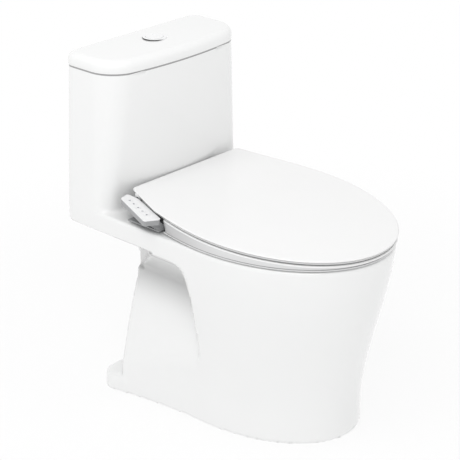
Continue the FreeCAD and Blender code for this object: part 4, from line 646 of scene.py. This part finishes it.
def makeSeatLid():
    # rings of the outline that shrink to a middle line above, go round the edge and return below
    s = seat
    n, r, lowR = s["count"], s["edgeR"], s["lowEdgeR"]
    top, low, skin = s["backZ"], s["backZ"] - s["edgeT"], s["backZ"] - s["skinT"]
    section = [(-a, z) for a, z in arc(-r, top - r, r, 90.0, 0.0, 8)]
    section += [(s["edgeDraft"] - a, z) for a, z in arc(-lowR, low + lowR, lowR, 0.0, -90.0, 4)]
    rimW, cut, skinR = s["rimW"], s["rimBreak"], s["skinR"]
    section += [(rimW - cut, low), (rimW, low + cut), (rimW, skin - skinR), (rimW + skinR, skin)]
    edge = [resample(lidOutline(inset), n) for inset, z in section]

    def toSpine(line, scale):
        spine = np.column_stack([np.zeros(n), np.clip(line[:, 1], *s["spine"])])
        return spine + (line - spine) * scale

    rows = []
    for scale in (0.0, 0.15, 0.3, 0.45, 0.6, 0.75, 0.88, 0.96):
        crowned = top + s["crown"] * ((1.0 - scale ** 2) ** 2 - 1.0)
        rows.append(atHeight(toSpine(edge[0], scale), crowned))
    for line, (inset, z) in zip(edge, section):
        rows.append(atHeight(line, z - (s["crown"] if z > skin else 0.0)))
    for scale in (0.9, 0.7, 0.45, 0.2, 0.0):
        rows.append(atHeight(toSpine(edge[-1], scale), skin - s["crown"]))
    shell = tilted(np.vstack(rows)), gridFaces(len(rows), n, False, True)
    armR, (lapBack, lapFront) = s["lidArmR"], s["lidArmLap"]
    a = np.radians(np.linspace(180.0, 360.0, 17))
    bend = np.column_stack([s["hingeY"] + armR * np.cos(a), s["hingeZ"] + armR * np.sin(a)])
    head = np.array([[s["hingeY"] + armR, skin - lapBack], [s["hingeY"] - armR, skin - lapFront]])
    meshes = [shell] + bothSides(s["lidArm"], np.vstack([bend, head]))
    return weld(addPiece("seatLid", *joinMeshes(meshes), "seat_lid", "white_plastic", "seat_lid"), 1e-6)


def seatOutline():
    # the lid's outline drawn in a little and cut straight behind, as points round the middle of the hole
    s = seat
    back, (bendX, bendY) = s["ringBackY"], s["backCorner"]
    line = lidOutline(s["inset"])
    front = line[line[:, 1] < back - bendY]
    front = front[np.argsort(np.arctan2(front[:, 0], -(front[:, 1] - s["ringMiddleY"])))]
    right = front[-1]
    corner = np.array([abs(right[0]) - s["backCornerIn"], back])
    t = np.linspace(0.0, 1.0, 12)[1:, None]
    end = corner - (bendX, 0.0)
    bend = right * (1 - t) ** 2 + 2 * corner * t * (1 - t) + end * t * t
    across = np.column_stack([np.linspace(end[0], -end[0], 40)[1:-1], np.full(38, back)])
    return np.vstack([front, bend, across, (bend * (-1.0, 1.0))[::-1]])


def makeSeatRing():
    # a closed section between the outline and the hole, level below and on the lid's slope above
    s = seat
    n = s["count"]
    outer = resample(seatOutline(), n)
    midY, holeLong = 0.5 * (s["holeBackY"] + s["holeFrontY"]), 0.5 * (s["holeBackY"] - s["holeFrontY"])
    a = np.arctan2(outer[:, 0] / s["half"], -(outer[:, 1] - midY) / (0.5 * (s["ringBackY"] - s["frontY"])))
    inner = np.column_stack([s["holeHalf"] * np.sin(a), midY - holeLong * np.cos(a)])
    across = inner - outer
    unit = across / np.linalg.norm(across, axis=1)[:, None]
    slope = math.tan(math.radians(s["tilt"]))

    def topRow(line, rise):
        # counted from the sloping top
        top = s["backZ"] - s["drop"] - (s["backY"] - line[:, 1]) * slope
        return np.column_stack([line, top + rise])

    def lowRow(line, rise):
        # counted from the level bottom
        return atHeight(line, s["lowZ"] + rise)

    r, holeR = s["ringEdgeR"], s["holeEdgeR"]
    rows = [topRow(outer - unit * reach, z) for reach, z in arc(-r, -r, r, 0.0, 90.0, 6)]
    for part in (0.2, 0.4, 0.6, 0.8):
        rows.append(topRow(mix(outer + unit * r, inner - unit * holeR, part), 0.0))
    for reach, z in arc(-holeR, -holeR, holeR, 90.0, 0.0, 9):
        rows.append(topRow(inner + unit * reach, min(z, 0.0)))
    bevel, flat, groove, draft = s["bevel"], s["flat"], s["grooveH"], s["sideDraft"]
    holeWall, sideWall = s["holeDraft"] + s["shell"], draft + s["shell"]
    for reach, rise in ((0.0, bevel), (bevel, flat), (holeWall, flat), (holeWall, groove)):
        rows.append(lowRow(inner - unit * reach, rise))
    for reach, rise in ((sideWall, groove), (sideWall, flat), (draft + bevel, flat), (draft, bevel)):
        rows.append(lowRow(outer + unit * reach, rise))
    rows.append(lowRow(outer + unit * s["draftShare"] * draft, groove))
    ring = np.vstack(rows), gridFaces(len(rows), n, True, True)
    # painted shade on the ring, kept on its points: its side darker towards the panel, and a painted shadow
    # line along the lower edge over the rim
    lip = np.zeros((len(rows), n))
    rearward = (outer[:, 1] - s["shadeFrontY"]) / (s["ringBackY"] - s["shadeFrontY"])
    lip[0] = lip[-1] = s["sideShade"] * smoothStep(rearward)  # the side, darker towards the panel
    lip[-3:-1] = 1.0  # the lower edge over the rim
    armR, lowZ, rootY = s["seatArmR"], s["seatArmLowZ"], s["ringBackY"] - s["seatArmLap"]
    turn = np.radians(np.linspace(-90.0, 90.0, 17))
    bend = np.column_stack([s["hingeY"] + armR * np.cos(turn), s["hingeZ"] + armR * np.sin(turn)])
    root = np.array([[rootY, lowZ + 2 * armR], [rootY, lowZ]])
    meshes = [ring] + bothSides(s["seatArm"], np.vstack([bend, root]))
    obj = addPiece("seatRing", *joinMeshes(meshes), "seat_ring", "white_plastic", "seat_ring")
    setPaintedShade(obj, lip.ravel())
    return weld(obj, 1e-6)


seatLidPiece = makeSeatLid()
seatRingPiece = makeSeatRing()


# plain icons printed on the keys of the side panel

icons = {
    "topDrop": 8.1, "proud": 0.12, "sunk": 0.3,
    "backMiddle": (-165.2, 140.0), "frontMiddle": (-199.65, 28.0), "pitch": 17.5,
    "keys": ("key_less", "key_front_wash", "key_stop", "key_rear_wash", "key_more"),
    "marks": ("down", "drop", "square", "ring", "up"), "ringHole": 0.55, "size": 3.1, "count": 48,
}


def iconOutline(mark):
    # distance from the middle at each angle, as a share of the size;
    # the first axis points along the panel to its front
    p = icons
    a = np.linspace(0.0, 2.0 * math.pi, p["count"], endpoint=False)
    if mark in ("down", "up"):
        turn = 0.0 if mark == "down" else math.pi
        wedge = (a - turn + math.pi / 3.0) % (2.0 * math.pi / 3.0) - math.pi / 3.0
        r = 0.55 / np.cos(math.pi / 3.0 - np.abs(wedge))
    elif mark == "drop":
        r = 0.6 + 0.5 * np.maximum(np.cos(a - math.pi), 0.0) ** 6
    elif mark == "square":
        side = (a + math.pi / 4.0) % (math.pi / 2.0) - math.pi / 4.0
        r = 0.6 / np.cos(side)
    else:
        r = np.full(len(a), 0.7)
    return p["size"] * np.column_stack([r * np.cos(a), r * np.sin(a)])


def makeIcon(number):
    # the outline as a thin raised print with a soft edge, closed by fans above and below; a ring keeps a hole
    p = icons
    back, front = np.array(p["backMiddle"]), np.array(p["frontMiddle"])
    along = (front - back) / np.linalg.norm(front - back)
    across = np.array([-along[1], along[0]])
    middle = 0.5 * (back + front) + along * p["pitch"] * (number - 2)
    outline = iconOutline(p["marks"][number])
    level = seat["backZ"] - p["topDrop"]
    inner = p["ringHole"] if p["marks"][number] == "ring" else 0.0
    sunk, proud = -p["sunk"], p["proud"]
    rows = []
    for scale, lift in ((inner, sunk), (1.0, sunk), (1.0, 0.5 * proud), (0.95, proud), (inner, proud)):
        line = middle + scale * (outline[:, :1] * along + outline[:, 1:] * across)
        rows.append(atHeight(line, level + lift))
    if inner:
        rows.append(rows[0])
    points, faces = tilted(np.vstack(rows)), gridFaces(len(rows), p["count"], False, True)
    key = p["keys"][number]
    return weld(addPiece(key + "Icon", points, faces, key, "key_plastic"), 1e-7)


iconPieces = [makeIcon(i) for i in range(len(icons["keys"]))]


# materials: one node set for all, with its numbers in a dictionary for each slot

finishes = {
    "glazed_ceramic": {
        "colour": (0.87, 0.872, 0.87), "shade": (0.845, 0.85, 0.848), "scale": 6.0,
        "roughness": (0.06, 0.11), "bumpScale": 34.0, "bump": 0.012, "coat": 0.35, "metal": 0.0,
        # painted shade: the darker colours below, in the side hollows and along the tank lid's joint
        "paintedShade": (0.12, 0.121, 0.121), "ground": (0.33, 0.33, 0.33),
        "joint": (ceramic["jointZ"] - 0.5, tankLid["lowZ"] + tankLid["slotH"] + 0.5)},
    "white_plastic": {
        "colour": (0.87, 0.87, 0.868), "shade": (0.85, 0.85, 0.85), "scale": 14.0, "roughness": (0.2, 0.28),
        "bumpScale": 900.0, "bump": 0.01, "coat": 0.1, "metal": 0.0,
        # painted shade: the darker colours of the next line, for sides and undersides and for the seat ring's
        # side and lower edge
        "edge": (0.71, 0.712, 0.714), "edgeTurn": (-0.45, 0.0), "paintedShade": (0.06, 0.06, 0.062)},
    "panel_plastic": {
        "colour": (0.86, 0.86, 0.86), "shade": (0.82, 0.825, 0.83), "scale": 40.0,
        "roughness": (0.26, 0.36), "bumpScale": 1400.0, "bump": 0.02, "coat": 0.1, "metal": 0.0},
    "key_plastic": {
        "colour": (0.86, 0.86, 0.865), "shade": (0.82, 0.825, 0.835), "scale": 60.0,
        "roughness": (0.3, 0.4), "bumpScale": 1400.0, "bump": 0.02, "coat": 0.05, "metal": 0.0},
    # painted shade: a grey copy of the panel's white plastic, for parts that sit in shade
    "panel_painted_shade": {
        "colour": (0.36, 0.365, 0.37), "shade": (0.31, 0.315, 0.32), "scale": 40.0,
        "roughness": (0.3, 0.42), "bumpScale": 1400.0, "bump": 0.02, "coat": 0.0, "metal": 0.0},
    "print": {
        "colour": (0.3, 0.31, 0.33), "shade": (0.24, 0.25, 0.27), "scale": 90.0, "roughness": (0.45, 0.55),
        "bumpScale": 2000.0, "bump": 0.02, "coat": 0.0, "metal": 0.0},
    "chrome": {
        "colour": (0.88, 0.882, 0.885), "shade": (0.84, 0.845, 0.85), "scale": 30.0,
        "roughness": (0.05, 0.12), "bumpScale": 300.0, "bump": 0.004, "coat": 0.4, "metal": 0.0},
    "valve_plastic": {
        "colour": (0.72, 0.74, 0.76), "shade": (0.62, 0.65, 0.69), "scale": 20.0, "roughness": (0.32, 0.45),
        "bumpScale": 700.0, "bump": 0.03, "coat": 0.0, "metal": 0.0},
    "rubber": {
        "colour": (0.045, 0.045, 0.048), "shade": (0.075, 0.075, 0.08), "scale": 25.0,
        "roughness": (0.6, 0.8), "bumpScale": 1200.0, "bump": 0.06, "coat": 0.0, "metal": 0.0},
    "steel": {
        "colour": (0.6, 0.6, 0.61), "shade": (0.48, 0.48, 0.5), "scale": 45.0, "roughness": (0.22, 0.4),
        "bumpScale": 900.0, "bump": 0.03, "coat": 0.0, "metal": 1.0},
    "brass": {
        "colour": (0.72, 0.55, 0.28), "shade": (0.58, 0.42, 0.2), "scale": 45.0, "roughness": (0.22, 0.38),
        "bumpScale": 900.0, "bump": 0.03, "coat": 0.0, "metal": 1.0},
    "soft_tube": {
        "colour": (0.74, 0.76, 0.74), "shade": (0.66, 0.69, 0.68), "scale": 30.0, "roughness": (0.3, 0.45),
        "bumpScale": 500.0, "bump": 0.03, "coat": 0.0, "metal": 0.0},
    "board": {
        "colour": (0.03, 0.16, 0.08), "shade": (0.05, 0.24, 0.11), "scale": 160.0,
        "roughness": (0.35, 0.55), "bumpScale": 1600.0, "bump": 0.05, "coat": 0.2, "metal": 0.0},
}
# chrome of the bezel with painted shade on its wall that faces one way
finishes["bezel_chrome"] = dict(
    finishes["chrome"], wall=(0.02, 0.02, 0.022), wallShadeFaces=(-0.97, -0.25, 0.0), wallShadeTurn=(0.1, 0.65))


def plug(tree, node, inputs):
    # each input is a plain value or the output of another node
    for socket, value in inputs.items():
        if isinstance(value, bpy.types.NodeSocket):
            tree.links.new(value, node.inputs[socket])
        else:
            node.inputs[socket].default_value = value
    return node


def addNode(tree, kind, inputs, **settings):
    node = tree.nodes.new("ShaderNode" + kind)
    for name, value in settings.items():
        setattr(node, name, value)
    return plug(tree, node, inputs)


def addBlend(tree, first, second, amount):
    inputs = {"A": first, "B": second, "Factor": amount}
    return addNode(tree, "Mix", inputs, data_type="RGBA").outputs["Result"]


def addRamp(tree, value, start, end, low=0.0, high=1.0):
    # from low to high, level at both ends, as the value goes from start to end
    ends = {"Value": value, "From Min": start, "From Max": end, "To Min": low, "To Max": high}
    return addNode(tree, "MapRange", ends, interpolation_type="SMOOTHSTEP").outputs["Result"]


def opaque(colour):
    return colour + (1.0,)


def makeFinish(name, f):
    # broad colour drift, roughness drift and a fine surface bump, all on object coordinates
    material = bpy.data.materials.new(name)
    material.use_nodes = True
    tree = material.node_tree
    place = addNode(tree, "TexCoord", {}).outputs
    spot = place["Object"]
    drift = addNode(tree, "TexNoise", {"Vector": spot, "Scale": f["scale"], "Detail": 4.0}).outputs["Fac"]
    least, most = f["roughness"]
    rough = addNode(tree, "MapRange", {"Value": drift, "To Min": least, "To Max": most})
    fine = addNode(tree, "TexNoise", {"Vector": spot, "Scale": f["bumpScale"], "Detail": 2.0})
    bump = addNode(tree, "Bump", {"Height": fine.outputs["Fac"], "Strength": f["bump"], "Distance": mm})

    def facing(direction, start, end):
        # 0 to 1 as the surface turns towards a direction of the object
        dot = addNode(tree, "VectorMath", {0: place["Normal"], 1: direction}, operation="DOT_PRODUCT")
        return addRamp(tree, dot.outputs["Value"], start, end)

    tint = addBlend(tree, opaque(f["colour"]), opaque(f["shade"]), drift)
    if "edge" in f:  # painted shade: mouldings darker on their sides and undersides, as turned from the light
        tint = addBlend(tree, tint, opaque(f["edge"]), facing((0.0, 0.0, -1.0), *f["edgeTurn"]))
    if "wall" in f:  # painted shade: the upright wall that faces one way is painted dark, as in the shade of its own rim
        tint = addBlend(tree, tint, opaque(f["wall"]), facing(f["wallShadeFaces"], *f["wallShadeTurn"]))
    if "joint" in f:  # the joint where the tank lid rests on the tank: its ground faces, darkened as painted shade of the gap
        low, high = (z * mm for z in f["joint"])
        height = addNode(tree, "SeparateXYZ", {0: spot}).outputs["Z"]
        band = {0: height, 1: 0.5 * (low + high), 2: 0.5 * (high - low)}
        near = addNode(tree, "Math", band, operation="COMPARE").outputs[0]
        tint = addBlend(tree, tint, opaque(f["ground"]), near)
    if "paintedShade" in f:  # painted shade in hollows and gaps, by the piece's own attribute
        depth = addNode(tree, "Attribute", {}, attribute_name="paintedShade").outputs["Fac"]
        tint = addBlend(tree, tint, opaque(f["paintedShade"]), depth)
    plug(tree, tree.nodes["Principled BSDF"], {
        "Base Color": tint, "Roughness": rough.outputs["Result"], "Normal": bump.outputs["Normal"],
        "Metallic": f["metal"], "Coat Weight": f["coat"], "Coat Roughness": 0.04})
    return material


materials = {name: makeFinish(name, f) for name, f in finishes.items()}


def wear(obj, material):
    obj.data.materials.clear()
    obj.data.materials.append(material)


for subpart in frame["record"]["subparts"]:
    wear(nodes[subpart["node"]], materials[subpart["material_slot"]])
# painted shade: the panel housing and the unit base grey for their shade
for name in ("panel_housing", "unit_base"):
    wear(nodes[name], materials["panel_painted_shade"])
# the bezel with painted shade on one side of its wall
wear(nodes["button_bezel"], materials["bezel_chrome"])
for piece in iconPieces:
    wear(piece, materials["print"])
for piece in (bodyPiece, tankLidPiece):
    wear(piece, materials["glazed_ceramic"])
for piece in (seatLidPiece, seatRingPiece):
    wear(piece, materials["white_plastic"])
print("materials set")


# floor, light and camera, in metres, degrees and watts

studio = {
    "floorR": 1.6, "floorDrop": 0.0004, "fadeStart": 0.55, "fadeEnd": 1.35, "floorClear": 0.82,
    "floorTones": (0.93, 0.95), "floorGrain": 3.0,
    "ambient": (1.0, 0.78), "horizon": 0.15, "lampR": 3.0, "lampW": 1.6,
    "lamps": (("key", -50.0, 42.0, 15.0), ("side", -90.0, 62.0, 14.0), ("top", 20.0, 84.0, 4.0)),
    "target": (0.0, 0.014, 0.3387), "azimuth": -47.1, "elevation": 23.8, "distance": 3.214, "focalPx": 1653.5,
    "imagePx": 460.0, "axisPx": (231.9, 230.0),
}


def makeFloor():
    # a disc that is partly clear, so that it takes the shadow softly,
    # and fades to the white background round its edge
    st = studio
    rings, spokes = 24, 96
    r = st["floorR"] * np.linspace(0.0, 1.0, rings + 1)[1:]
    a = np.linspace(0.0, 2.0 * math.pi, spokes, endpoint=False)
    points = np.stack([np.outer(r, np.cos(a)).ravel(), np.outer(r, np.sin(a)).ravel()], 1)
    points = atHeight(np.vstack([[[0.0, 0.0]], points]), -st["floorDrop"])
    faces = [(0, 1 + i, 1 + (i + 1) % spokes) for i in range(spokes)]
    faces += [tuple(q) for q in (gridFaces(rings, spokes, False, True) + 1).tolist()]
    mesh = bpy.data.meshes.new("floor")
    mesh.from_pydata(points.tolist(), [], faces)
    floor = bpy.data.objects.new("floor", mesh)
    bpy.context.scene.collection.objects.link(floor)
    material = bpy.data.materials.new("paleFloor")
    material.use_nodes = True
    tree = material.node_tree
    tree.nodes.remove(tree.nodes["Principled BSDF"])
    place = addNode(tree, "TexCoord", {}).outputs["Object"]
    length = addNode(tree, "VectorMath", {0: place}, operation="LENGTH").outputs["Value"]
    fade = addRamp(tree, length, st["fadeStart"], st["fadeEnd"], st["floorClear"])
    grain = addNode(tree, "TexNoise", {"Vector": place, "Scale": st["floorGrain"]}).outputs["Fac"]
    dark, pale = ((tone, tone, tone, 1.0) for tone in st["floorTones"])
    matt = addNode(tree, "BsdfDiffuse", {"Color": addBlend(tree, dark, pale, grain)}).outputs["BSDF"]
    clear = addNode(tree, "BsdfTransparent", {}).outputs["BSDF"]
    blend = addNode(tree, "MixShader", {"Fac": fade, 1: matt, 2: clear})
    plug(tree, tree.nodes["Material Output"], {"Surface": blend.outputs["Shader"]})
    mesh.materials.append(material)
    return floor


def makeWorld():
    # plain white to the camera and in reflections; as light it is stronger from below, as over a pale floor
    world = bpy.data.worlds.new("studio")
    bpy.context.scene.world = world
    world.use_nodes = True
    tree = world.node_tree
    rays = addNode(tree, "LightPath", {}).outputs
    seen = addNode(tree, "Math", {0: rays["Is Camera Ray"], 1: rays["Is Glossy Ray"]}, operation="ADD")
    seen = addNode(tree, "Math", {0: seen.outputs[0], 1: rays["Is Transmission Ray"]}, operation="ADD")
    place = addNode(tree, "TexCoord", {}).outputs["Generated"]
    height = addNode(tree, "SeparateXYZ", {0: place}).outputs["Z"]
    level = addRamp(tree, height, -studio["horizon"], studio["horizon"], *studio["ambient"])
    strength = addNode(tree, "MapRange", {"Value": seen.outputs[0], "To Min": level, "To Max": 1.0})
    plug(tree, tree.nodes["Background"], {
        "Color": (1.0, 1.0, 1.0, 1.0), "Strength": strength.outputs["Result"]})


def towards(azimuth, elevation):
    # unit vector from the object to a lamp or the camera; azimuth 0 is straight ahead of the bowl
    a, e = math.radians(azimuth), math.radians(elevation)
    return Vector((math.sin(a) * math.cos(e), -math.cos(a) * math.cos(e), math.sin(e)))


def makeLamps():
    # round soft lamps on a sphere about the object, each given by its azimuth, elevation and power
    st = studio
    for name, azimuth, elevation, power in st["lamps"]:
        lamp = bpy.data.lights.new(name, "AREA")
        lamp.shape = "DISK"
        lamp.size = st["lampW"]
        lamp.energy = power
        obj = bpy.data.objects.new(name, lamp)
        back = towards(azimuth, elevation)
        obj.location = Vector(st["target"]) + back * st["lampR"]
        obj.rotation_euler = (-back).to_track_quat("-Z", "Y").to_euler()
        bpy.context.scene.collection.objects.link(obj)


def makeCamera():
    st = studio
    back = towards(st["azimuth"], st["elevation"])
    data = bpy.data.cameras.new("view")
    data.sensor_width = 36.0
    data.sensor_fit = "HORIZONTAL"
    data.lens = data.sensor_width * st["focalPx"] / st["imagePx"]
    data.shift_x = (0.5 * st["imagePx"] - st["axisPx"][0]) / st["imagePx"]
    data.shift_y = (st["axisPx"][1] - 0.5 * st["imagePx"]) / st["imagePx"]
    data.clip_end = 50.0
    camera = bpy.data.objects.new("view", data)
    camera.location = Vector(st["target"]) + back * st["distance"]
    camera.rotation_euler = (-back).to_track_quat("-Z", "Y").to_euler()
    bpy.context.scene.collection.objects.link(camera)
    bpy.context.scene.camera = camera


makeFloor()
makeWorld()
makeLamps()
makeCamera()
bpy.context.scene.view_settings.view_transform = "Standard"
print("studio set")
